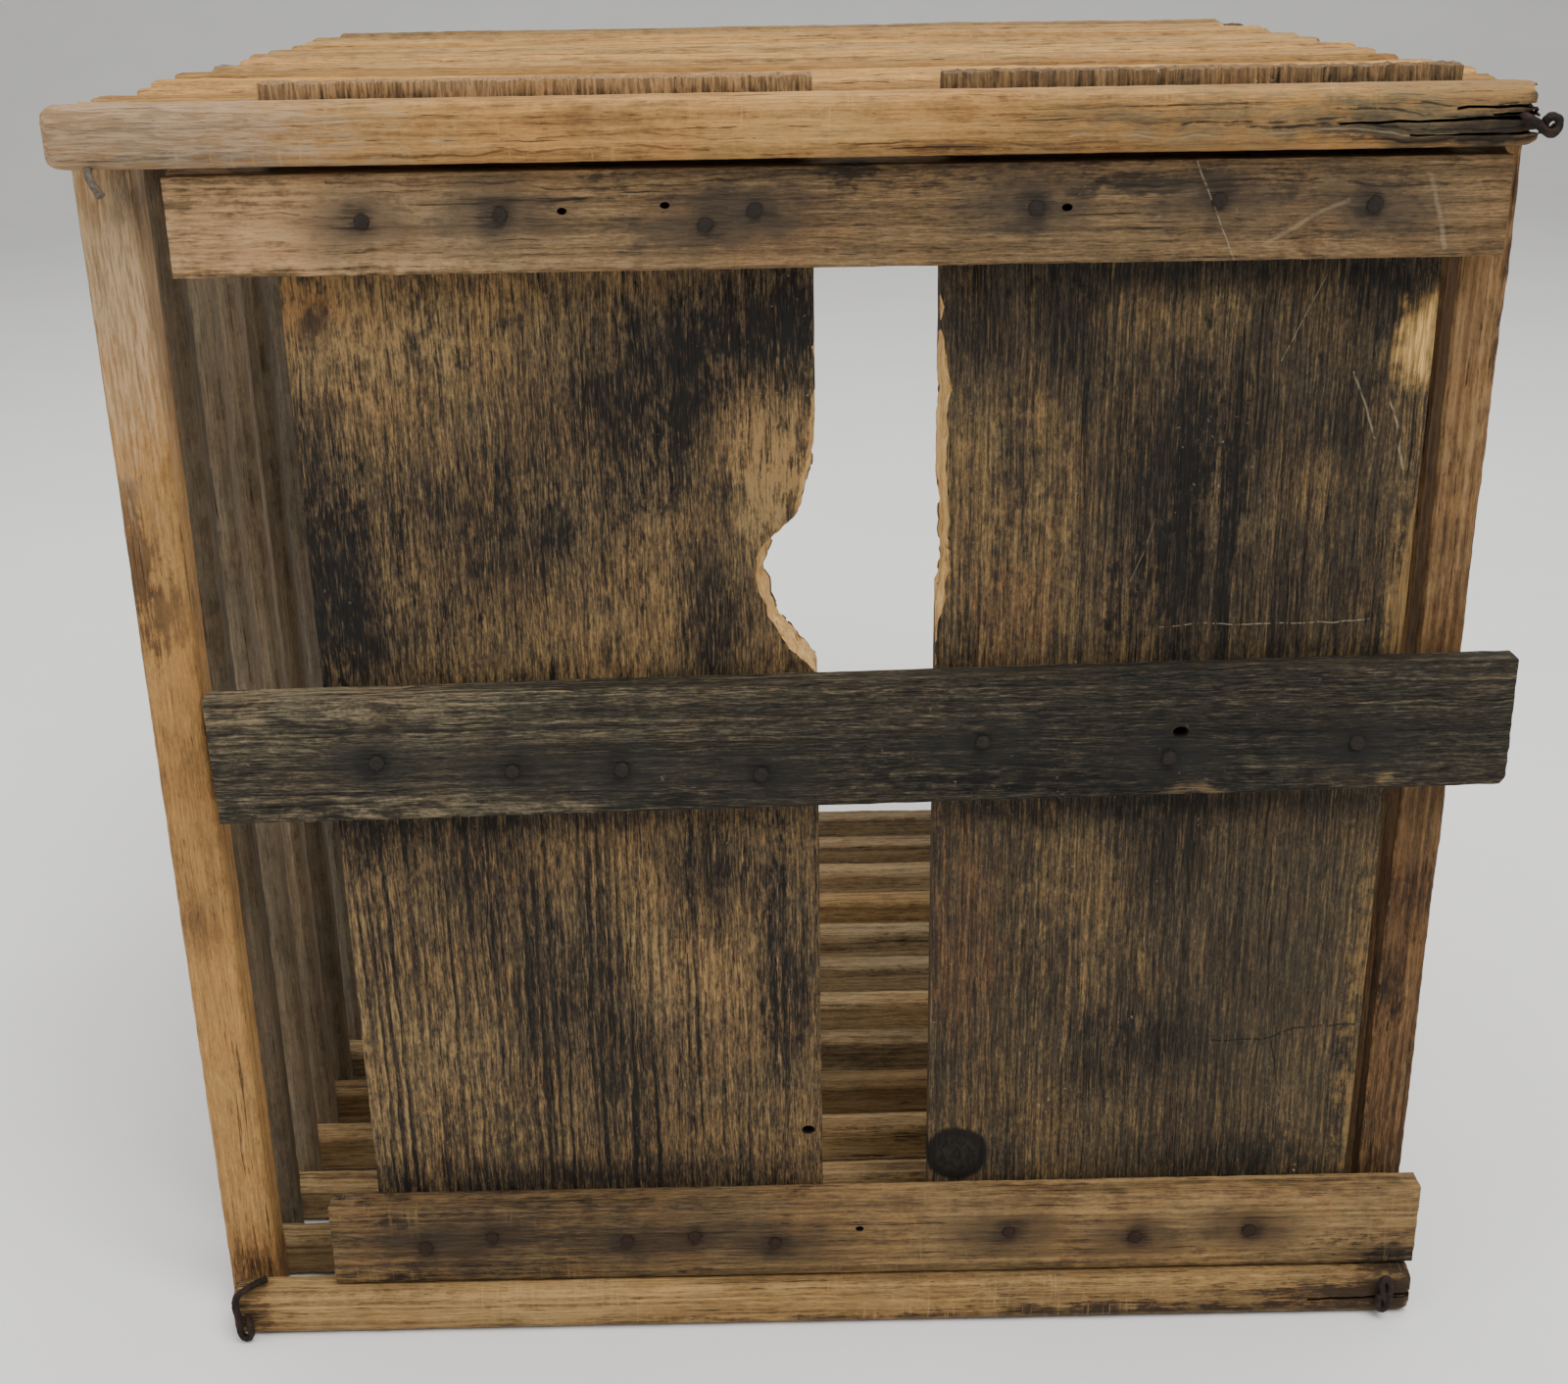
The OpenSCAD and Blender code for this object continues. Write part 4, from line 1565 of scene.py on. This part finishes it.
@dataclass
class Studio:
    """Floor, light and camera."""

    bench: Bench
    floor_size: float = 6.4
    wall_height: float = 3.0
    sweep: float = 1.2
    sweep_faces: int = 16
    sweep_angle: float = 60.0
    floor_finish: PlainFinish = PlainFinish("pale_floor", tint(244, 243, 240), 0.03)
    lamps: tuple[Lamp, ...] = (
        Lamp("key", (0.55, -1.0, 1.9), 1.3, 38.0),
        Lamp("side", (-1.35, -0.85, 1.0), 1.1, 11.0),
        Lamp("overhead", (0.1, 0.35, 1.7), 1.4, 21.0),
    )
    lamp_aim: tuple[float, float, float] = (0.0, 0.0, 0.15)
    sky_colour: Colour = (0.90, 0.90, 0.91)
    sky_strength: float = 0.35
    image: tuple[int, int] = (1600, 1412)
    focal_px: float = 1984.15
    sensor_mm: float = 36.0
    eye: tuple[float, float, float] = (-0.0087, -0.6030, 0.3695)
    pan: float = math.radians(0.35)
    tilt: float = math.radians(21.61)
    roll: float = math.radians(-0.94)
    nearest: float = 10 * MM

    def build(self) -> None:
        """Set up the floor, the lights and the camera."""
        self.floor()
        for lamp in self.lamps:
            self.hang(lamp)
        self.sky()
        self.camera()

    def floor(self) -> None:
        """A pale floor that sweeps up into a backdrop far behind."""
        made = self.bench.start(bpy.ops.mesh.primitive_plane_add, size=self.floor_size)
        made.name = "studio_floor"
        middle, rear = self.wall_height / 2, self.floor_size / 4
        with edit_mode():
            self.bench.pick(made, lambda a, b: min(a.y, b.y) > rear)
            bpy.ops.mesh.extrude_region_move(TRANSFORM_OT_translate={"value": (0.0, 0.0, self.wall_height)})
            self.bench.pick(made, lambda a, b: min(a.y, b.y) > rear and max(a.z, b.z) < middle)
            bpy.ops.mesh.bevel(offset=self.sweep, segments=self.sweep_faces, affect="EDGES")
        self.bench.dress(made, self.floor_finish.material())
        self.bench.smooth(made, self.sweep_angle)

    def hang(self, lamp: Lamp) -> None:
        """Hang a light that faces the crate.

        Args:
            lamp: The light.
        """
        light = bpy.data.lights.new(lamp.name, "AREA")
        light.size = lamp.size
        light.energy = lamp.power
        made = bpy.data.objects.new(lamp.name, light)
        made.location = lamp.at
        ahead = Vector(self.lamp_aim) - Vector(lamp.at)
        made.rotation_euler = ahead.to_track_quat("-Z", "Y").to_euler()
        bpy.context.scene.collection.objects.link(made)

    def sky(self) -> None:
        """An even pale surround."""
        world = bpy.data.worlds.new("surround")
        world.use_nodes = True
        shade = world.node_tree.nodes["Background"]
        shade.inputs["Color"].default_value = (*self.sky_colour, 1.0)
        shade.inputs["Strength"].default_value = self.sky_strength
        bpy.context.scene.world = world

    def camera(self) -> None:
        """Stand the camera where the photograph was taken from."""
        lens = bpy.data.cameras.new("camera")
        lens.sensor_fit = "HORIZONTAL"
        lens.sensor_width = self.sensor_mm
        lens.lens = self.focal_px / self.image[0] * self.sensor_mm
        lens.clip_start = self.nearest
        level = math.cos(self.tilt)
        ahead = Vector((math.sin(self.pan) * level, math.cos(self.pan) * level, -math.sin(self.tilt)))
        right = Vector((math.cos(self.pan), -math.sin(self.pan), 0.0))
        up = right.cross(ahead)
        sideways = right * math.cos(self.roll) + up * math.sin(self.roll)
        upright = up * math.cos(self.roll) - right * math.sin(self.roll)
        turn = Matrix((sideways, upright, -ahead)).transposed().to_4x4()
        made = bpy.data.objects.new("camera", lens)
        made.matrix_world = Matrix.Translation(Vector(self.eye)) @ turn
        bpy.context.scene.collection.objects.link(made)
        bpy.context.scene.camera = made


TAN = tones((58, 41, 27), (108, 79, 48), (162, 121, 72), (194, 149, 91), (217, 177, 119))
FLOOR = tones((48, 38, 29), (94, 75, 54), (144, 118, 84), (176, 148, 110), (200, 174, 136))
FRONT = tones((56, 42, 28), (102, 78, 49), (150, 119, 76), (182, 147, 98), (208, 176, 127))
# The next tones, for the inner left slats, are darker and greyer than TAN: painted shade for the inside of
# the crate.
SHADED_LEFT_WALL = tones((46, 40, 34), (84, 72, 59), (123, 107, 89), (155, 137, 114), (184, 166, 140))
RIGHT_WALL = tones((41, 29, 20), (74, 53, 35), (110, 82, 53), (140, 109, 74), (170, 139, 98))
LEFT_BOARD = tones((27, 24, 21), (45, 37, 29), (77, 63, 46), (114, 92, 63), (150, 121, 81))
RIGHT_BOARD = tones((26, 23, 20), (42, 36, 28), (68, 56, 42), (100, 82, 56), (138, 112, 75))
TOP_BATTEN = tones((41, 33, 24), (75, 59, 41), (118, 94, 65), (157, 128, 94), (190, 161, 124))
GREY_BATTEN = tones((20, 18, 15), (35, 32, 26), (55, 49, 39), (90, 80, 63), (132, 117, 91))
LOW_BATTEN = tones((34, 27, 20), (66, 52, 36), (108, 85, 56), (142, 113, 75), (174, 143, 100))
AGED = tones((28, 24, 19), (54, 47, 36), (82, 73, 55), (110, 98, 75), (138, 124, 97))
FRESH = tones((96, 68, 40), (150, 110, 64), (198, 156, 98), (222, 186, 130), (236, 208, 160))


@dataclass
class Palette:
    """Every finish of the crate, with the marks on each piece: what the years left on it, and painted shade.
    """

    nails: Nails

    def mix(self) -> dict[str, Material]:
        """Mix all the finishes.

        Returns:
            Materials by the piece that they dress.
        """
        made = [*self.slats(), *self.boards(), *self.battens(), *self.bare()]
        return {name: finish.material() for name, finish in made}

    def slats(self) -> list[tuple[str, WoodFinish]]:
        """Finishes of the slats: one for each wall, and one for each slat at the front."""
        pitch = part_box("floor_slat_2")[0].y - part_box("floor_slat_1")[0].y
        flat = Row(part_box("floor_slat_1")[0].y - pitch / 4, pitch, 0.34)
        side = Row(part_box("left_slat_1")[0].y - pitch / 4, pitch, 0.4)
        along_x, along_z = Grain.ALONG_X, Grain.ALONG_Z
        grey = tint(143, 128, 111)
        brown = tint(74, 52, 36)
        lichen = tint(100, 91, 69)
        rot = tint(38, 31, 25)
        top_marks = (
            Mark(-150, 329, 60, 16, 0.65, grey, 0.5), Mark(-140, 323.5, 26, 3.0, 0.35),
            Mark(76, 328.5, 28, 4, 0.25), Mark(110, 326, 66, 8, 0.5, lichen),
            Mark(150, 328, 36, 13, 0.5, lichen, 0.5), Mark(146, 325, 40, 6, 0.4, None, 0.6),
            Mark(142, 323.0, 34, 3.6, 0.6, rot, 0.8), Mark(160, 324.4, 21, 8.0, 0.9, rot, 0.5),
            # Mark(0, 320.4) is painted shade: a band that darkens the slat's front along its bottom edge.
            Mark(0, 328, 60, 9, -0.1), Mark(0, 320.4, 170, 3.5, 0.15, None, 0.6))
        top_scores = (
            Score(60, 324.6, 146, 323.6, 0.5, 0.3, DUST), Score(84, 327.0, 124, 326.0, 0.6, 0.8),
            Score(-90, 322.6, -20, 323.2, 0.5, 0.6, UMBER), Score(-60, 326, -10, 325.4, 0.4, 0.5, UMBER),
            Score(20, 323.4, 70, 322.9, 0.4, 0.5, UMBER), Score(118, 328.4, 161, 327.6, 0.5, 0.8),
            Score(98, 325.4, 160, 324.6, 0.6, 0.85), Score(126, 322.4, 164, 322.0, 0.6, 0.85),
            Score(136, 330.4, 158, 330.0, 0.4, 0.7))
        # Mark(88, 1.5), Mark(130, 3) and Mark(-70, 0.5) are painted shade: low bands that darken the slat's
        # front towards its bottom edge.
        floor_marks = (
            Mark(88, 1.5, 95, 5, 0.34), Mark(-160, 8, 8, 12, 0.45), Mark(164, 8, 15, 14, 0.8, None, 0.4),
            Mark(130, 3, 54, 8, 0.34), Mark(60, 8, 90, 12, 0.1), Mark(150, 6, 30, 10, 0.3, None, 0.6),
            Mark(-70, 0.5, 120, 4.5, 0.25, None, 0.6))
        left_marks = (
            Mark(-164, 226, 7, 18, 0.8, brown), Mark(-158, 213, 8, 10, 0.65, brown),
            Mark(-162, 126, 7, 10, 0.5, brown), Mark(-160, 14, 10, 14, 0.35),
            # Mark(-160, 298) greys the slat's top as painted shade under the top slat, and Mark(-154, 314) is
            # painted shade in the corner below the top slat.
            Mark(-160, 298, 18, 52, 0.6, tint(168, 145, 118), 0.5), Mark(-154, 314, 7, 9, 0.5))
        right_marks = (
            Mark(160, 285, 16, 60, -0.12), Mark(158, 190, 16, 40, -0.06), Mark(160, 128, 10, 12, 0.3),
            Mark(157, 100, 5, 14, 0.35), Mark(160, 50, 16, 36, 0.22))
        return [
            ("flat", WoodFinish("flat_slat_wood", along_x, TAN, row=flat, saw_show=0.3)),
            ("floor", WoodFinish("floor_slat_wood", along_x, FLOOR, row=flat, seed=7.5)),
            ("top_first", WoodFinish(
                "top_front_slat_wood", along_x, TAN, seed=3.1, saw_show=0.6, fibre_show=0.05,
                thread_show=0.05, line_show=0.09, streak_show=0.26, blotch_show=0.32, marks=top_marks,
                scores=top_scores)),
            ("floor_first", WoodFinish(
                "floor_front_slat_wood", along_x, FRONT, seed=5.7, saw_show=0.4, fibre_show=0.05,
                thread_show=0.06, marks=floor_marks)),
            ("left", WoodFinish(
                "left_slat_wood", along_z, SHADED_LEFT_WALL, row=side, fibre_show=0.05, thread_show=0.05,
                line_show=0.07, streak_show=0.2, fleck_show=0.12)),
            ("left_first", WoodFinish(
                "left_front_slat_wood", along_z, TAN, seed=2.2, grime_show=0.1, fibre_show=0.05,
                thread_show=0.05, line_show=0.07, streak_show=0.18, marks=left_marks)),
            ("right", WoodFinish(
                "right_slat_wood", along_z, RIGHT_WALL, row=side, line_show=0.16, streak_show=0.36,
                check_show=0.5)),
            ("right_first", WoodFinish(
                "right_front_slat_wood", along_z, RIGHT_WALL, seed=4.7, line_mm=(260.0, 1.8),
                line_show=0.15, streak_show=0.24, check_show=0.4, dust_show=0.5, edge_show=0.7,
                marks=right_marks)),
        ]

    def boards(self) -> list[tuple[str, WoodFinish]]:
        """Finishes of the two boards."""
        tan = tint(134, 106, 66)
        sawn = tint(172, 134, 94)
        left_marks = (
            Mark(-60, 338, 160, 7, 0.7, sawn, 0.4), Mark(-98, 284, 34, 20, -0.16),
            Mark(-11, 254, 16, 16, -0.22), Mark(-9, 238, 12, 11, -0.22), Mark(-46, 212, 22, 20, -0.05),
            Mark(-43, 135, 8, 19, -0.16), Mark(-36, 106, 20, 16, -0.14), Mark(-104, 77, 22, 24, -0.12),
            Mark(-88, 250, 12, 10, -0.1), Mark(-8, 280, 20, 17, 0.55), Mark(-30, 275, 15, 17, 0.42),
            Mark(-44, 264, 13, 22, 0.32), Mark(-28, 257, 9, 18, 0.34), Mark(-116, 221, 15, 20, 0.5),
            Mark(-119, 248, 9, 20, 0.3), Mark(-110, 203, 20, 15, 0.34), Mark(-70, 224, 26, 16, 0.22),
            Mark(-90, 242, 26, 18, 0.2), Mark(-60, 229, 6, 7, 0.22), Mark(-19, 240, 6, 7, 0.25),
            Mark(-22, 209, 10, 24, 0.34), Mark(-60, 256, 18, 28, 0.18), Mark(-113, 151, 18, 10, 0.25),
            Mark(-88, 142, 17, 24, 0.22), Mark(-66, 104, 20, 26, 0.22), Mark(-25, 138, 20, 14, 0.28),
            Mark(-6, 102, 7, 36, 0.36), Mark(-50, 76, 14, 26, 0.22), Mark(-60, 43, 72, 8, 0.28),
            # Mark(-60, 155) is the middle batten's shadow, painted on the board below it.
            Mark(-60, 155, 72, 5, 0.2), Mark(-117, 287, 6, 7, 0.45, tint(160, 112, 66)),
            Mark(-115, 284, 3.2, 5.4, 0.9, tint(52, 40, 34)))
        right_marks = (
            Mark(90, 338, 150, 6, 0.28, sawn, 0.6), Mark(50, 236, 20, 42, -0.12),
            Mark(90, 281, 22, 9, -0.16), Mark(124, 241, 11, 10, -0.16), Mark(74, 124, 18, 22, -0.14),
            Mark(48, 210, 11, 21, 0.1, MADDER), Mark(41, 119, 10, 34, 0.12, MADDER),
            Mark(64, 60, 28, 20, -0.06), Mark(90, 96, 74, 66, 0.08), Mark(41, 280, 13, 14, 0.3),
            # Mark(90, 293) is the top batten's shadow, painted on the board below it.
            Mark(62, 280, 12, 16, 0.3), Mark(90, 293, 72, 6, 0.26), Mark(140, 287, 16, 10, 0.34),
            Mark(86, 246, 18, 32, 0.3), Mark(108, 253, 18, 22, 0.22), Mark(129, 255, 9, 22, 0.22),
            Mark(95, 214, 14, 24, 0.3), Mark(120, 213, 20, 18, 0.14), Mark(93, 141, 12, 22, 0.25),
            # Mark(90, 155) is the middle batten's shadow, painted on the board below it.
            Mark(97, 85, 15, 14, 0.32), Mark(78, 76, 9, 14, 0.2), Mark(90, 155, 72, 5, 0.24),
            Mark(131, 102, 34, 60, 0.3, tint(58, 53, 42)), Mark(112, 46, 26, 9, 0.24),
            Mark(148.5, 208, 3.0, 22, 0.7, tan), Mark(148, 86, 4.0, 44, 0.6, tan),
            Mark(146.8, 275.6, 6.4, 14, 0.97, STRAW, 0.3))
        right_scores = (
            Score(110, 83.7, 149, 88, 0.5, 0.7), Score(122.8, 290.9, 113.7, 270.5, 0.3, 0.4, DUST, 0.1),
            Score(87.5, 204, 141, 205.6, 0.35, 0.55, DUST, 0.4),
            Score(139.8, 262, 146, 243, 0.6, 0.5, DUST), Score(126, 84, 130, 66, 0.4, 0.7),
            Score(86, 232, 80, 216, 0.3, 0.3, DUST, 0.2), Score(131, 268, 138, 252, 0.5, 0.4, DUST))
        return [
            ("left_board", WoodFinish(
                "left_board_wood", Grain.ALONG_Z, LEFT_BOARD, seed=1.3, fibre_mm=(9.0, 0.8),
                grit_show=0.12, fibre_show=0.2, thread_show=0.17, line_show=0.08, streak_show=0.2,
                blotch_show=0.24, mottle_mm=(5.0, 2.6), mottle_show=0.14, ring_show=0.48, fleck_show=0.34,
                grime_show=0.24, soil_and_shade_show=1.25, dust_show=0.4, relief=0.6 * MM,
                ring_zone=Mark(-78, 80, 60, 90), marks=left_marks)),
            ("right_board", WoodFinish(
                "right_board_wood", Grain.ALONG_Z, RIGHT_BOARD, seed=8.4, fibre_mm=(18.0, 0.9),
                thread_mm=(9.0, 0.4), grit_show=0.13, fibre_show=0.13, thread_show=0.15, line_show=0.14,
                streak_show=0.24, blotch_show=0.36, mottle_mm=(3.6, 2.4), mottle_show=0.1, ring_mm=5.5,
                ring_show=0.24, grime_show=0.2, soil_and_shade_show=1.3, dust_show=0.8, relief=0.5 * MM,
                ring_zone=Mark(125, 190, 50, 60), marks=right_marks, scores=right_scores,
                knots=(Knot(39.9, 48.6, 8.4),))),
        ]

    def battens(self) -> list[tuple[str, WoodFinish]]:
        """Finishes of the three battens."""
        top_marks = (
            Mark(-128, 305, 34, 14, 0.35, tint(178, 138, 98)), Mark(-104, 306, 44, 15, -0.25),
            # Mark(40, 317) and Mark(123, 316.5) are the top slat's shadow, painted along the batten's upper
            # edge.
            Mark(10, 308, 80, 14, 0.16), Mark(40, 317, 140, 4, 0.12), Mark(123, 316.5, 48, 4, 0.1),
            Mark(110, 304, 70, 14, 0.08), Mark(10.9, 317.4, 4, 3, 0.5),
            *self.nail_stains_and_shade("top_batten", tint(64, 54, 44)))
        top_scores = (
            Score(-107, 316.7, -39, 314.7, 0.5, 0.6), Score(-39, 314.7, 10.9, 317.6, 0.5, 0.6),
            Score(66.6, 313.8, 160.9, 312.2, 0.5, 0.6),
            Score(88.8, 318.2, 98.9, 295.8, 0.4, 0.4, DUST, 0.2),
            Score(142.1, 316, 147.1, 298.9, 1.2, 0.22, DUST, 0.5),
            Score(106, 300, 124, 309, 0.9, 0.2, DUST, 0.6), Score(-128, 309.6, -104, 309, 0.5, 0.4))
        middle_marks = (
            Mark(20, 172, 170, 10, 0.12), Mark(-127, 191.5, 34, 5, -0.14),
            Mark(-100, 160.4, 62, 2.6, -0.32), Mark(-34, 161.8, 20, 3, 0.3),
            Mark(93, 164.4, 84, 3.4, 0.25), Mark(99.5, 162.2, 10, 1.4, 0.35, tint(150, 124, 88)),
            Mark(146, 165.0, 5, 2.0, 0.4, tint(150, 124, 88)), Mark(170, 192, 15, 8, -0.1),
            Mark(-110, 178, 60, 20, -0.15), Mark(104, 180, 90, 22, 0.2),
            *self.nail_stains_and_shade("middle_batten", tint(36, 34, 31)))
        bottom_marks = (
            Mark(-85, 28, 66, 22, 0.27), Mark(100, 30, 80, 22, -0.2), Mark(162.6, 17.8, 14, 6, 0.5),
            *self.nail_stains_and_shade("bottom_batten", tint(58, 46, 34)))
        along = Grain.ALONG_X
        return [
            ("top_batten", WoodFinish(
                "top_batten_wood", along, TOP_BATTEN, seed=4.4, grit_show=0.06, fibre_show=0.05,
                thread_show=0.06, line_show=0.09, streak_show=0.24, ring_mm=6.0, ring_show=0.14,
                grime_show=0.2, dust_show=0.3, marks=top_marks, scores=top_scores)),
            ("middle_batten", WoodFinish(
                "middle_batten_wood", along, GREY_BATTEN, seed=6.1, fibre_mm=(16.0, 0.7), grit_show=0.1,
                fibre_show=0.15, thread_show=0.19, line_show=0.16, streak_show=0.26, check_show=0.5,
                fleck_show=0.4, dust_show=0.25, relief=0.55 * MM, marks=middle_marks)),
            ("bottom_batten", WoodFinish(
                "bottom_batten_wood", along, LOW_BATTEN, seed=9.9, saw_show=0.45, grime_show=0.3,
                marks=bottom_marks)),
        ]

    def bare(self) -> list[tuple[str, WoodFinish | RustFinish | PlainFinish]]:
        """Finishes of bared wood, of cracks and of iron."""
        return [
            ("chewed", WoodFinish("chewed_wood", Grain.ALONG_Z, FRESH, fibre_mm=(5.0, 0.9))),
            ("bare", WoodFinish("broken_wood", Grain.ALONG_X, FRESH, grime_show=0.4, fleck_show=0.5)),
            ("aged", WoodFinish("aged_break_wood", Grain.ALONG_X, AGED, fibre_show=0.14, thread_show=0.14)),
            ("crack", PlainFinish("crack_dark", tint(40, 32, 25), 0.3)),
            ("nails", RustFinish("nail_iron", tint(44, 39, 35), tint(50, 31, 23), 0.3, 0.8)),
            ("wire", RustFinish("wire_rust", tint(34, 28, 25), tint(66, 42, 30), 0.6)),
            ("grey_wire", RustFinish("wire_grey", tint(104, 96, 84), tint(90, 70, 50), 0.5)),
        ]

    def nail_stains_and_shade(self, node: str, stain: Colour) -> tuple[Mark, ...]:
        """Marks round the nails of one batten: a tight dark ring each, painted shade round the head together
        with its iron stain, and a wide soft iron stain.

        Args:
            node: The batten's node.
            stain: Colour of the wide stains.

        Returns:
            The rings and the stains.
        """
        low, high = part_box(node)
        hits = [p / MM for p in self.nails.places() if low.z < p.z < high.z]
        # A tight dark ring round each head: painted shade where the head meets the wood, with its iron stain.
        rim_shade_and_stain = [Mark(p.x, p.z, 4.6, 4.2, 0.6, None, 0.15) for p in hits]
        wide = [Mark(p.x, p.z, 20, 9.0, 0.75, stain, 0.35) for p in hits]
        return (*wide, *rim_shade_and_stain)


def main() -> None:
    """Build the crate piece by piece, then the studio."""
    logging.basicConfig(level=logging.INFO, format="%(name)s: %(message)s")
    bench = Bench()
    nails = Nails(bench)
    woods = Palette(nails).mix()
    rows = len([n for n in frame["nodes"] if n.startswith("floor_slat_")])
    first, flat_rest, side_rest = range(1, 2), range(2, rows + 1), range(2, rows)
    flat, side = "flat_slat_wood", "side_slat_wood"
    along_x, along_z = Grain.ALONG_X, Grain.ALONG_Z
    spoilt = (woods["bare"], woods["crack"])
    aged = (woods["aged"], woods["crack"])
    fine = {"cuts": 130, "short_mm": 0.5, "rib_mm": 0.25, "warp_mm": 0.4, "dent_mm": 0.2, "chip_mm": 0.25}
    worn = {"edge_mm": 3.6, "end_mm": 2.4, **fine}
    straight = {**worn, "rib_mm": 0.15, "warp_mm": 0.2, "dent_mm": 0.15, "chip_mm": 0.2}
    top_clefts = (Cleft(46, 0.42, 0.8, 0.6), Cleft(20, 0.62, 0.5, 0.3), Cleft(30, 0.22, 0.4, 0.3),
                  Cleft(12, 0.52, 0.2, 0.5))
    deep = (9.0, 18.0)
    floor_clefts = (Cleft(8, 0.50, 0.0, 2.2), Cleft(30, 0.42, 0.6, 0.3))
    walls = [
        SlatWall(bench, "floor_slat", first, "floor", flat, along_x, woods["floor_first"], *aged,
                 clefts=floor_clefts, **worn),
        SlatWall(bench, "floor_slat", flat_rest, "floor", flat, along_x, woods["floor"], *spoilt),
        SlatWall(bench, "top_slat", first, "top", flat, along_x, woods["top_first"], *aged,
                 clefts=top_clefts, broken={1: (3.0, 5.0)}, **straight),
        SlatWall(bench, "top_slat", flat_rest, "top", flat, along_x, woods["flat"], *spoilt, short_mm=3.0,
                 broken={2: (2.0, 3.5), 10: deep, 12: deep, 13: deep}),
        SlatWall(bench, "left_slat", first, "left_wall", side, along_z, woods["left_first"], *spoilt,
                 edge_mm=2.0, **fine),
        SlatWall(bench, "left_slat", side_rest, "left_wall", side, along_z, woods["left"], *spoilt),
        SlatWall(bench, "right_slat", first, "right_wall", side, along_z, woods["right_first"], *spoilt,
                 edge_mm=2.8, cuts=120, cross_cuts=7, rib_mm=2.2),
        SlatWall(bench, "right_slat", side_rest, "right_wall", side, along_z, woods["right"], *spoilt,
                 rib_mm=0.9),
    ]
    for wall in walls:
        wall.build()
    EndPanel(bench).build(woods)
    nails.build(woods["nails"])
    CornerWires(bench, woods["wire"], woods["grey_wire"]).build()
    Studio(bench).build()
    bench.clear()


if __name__ == "__main__":
    main()
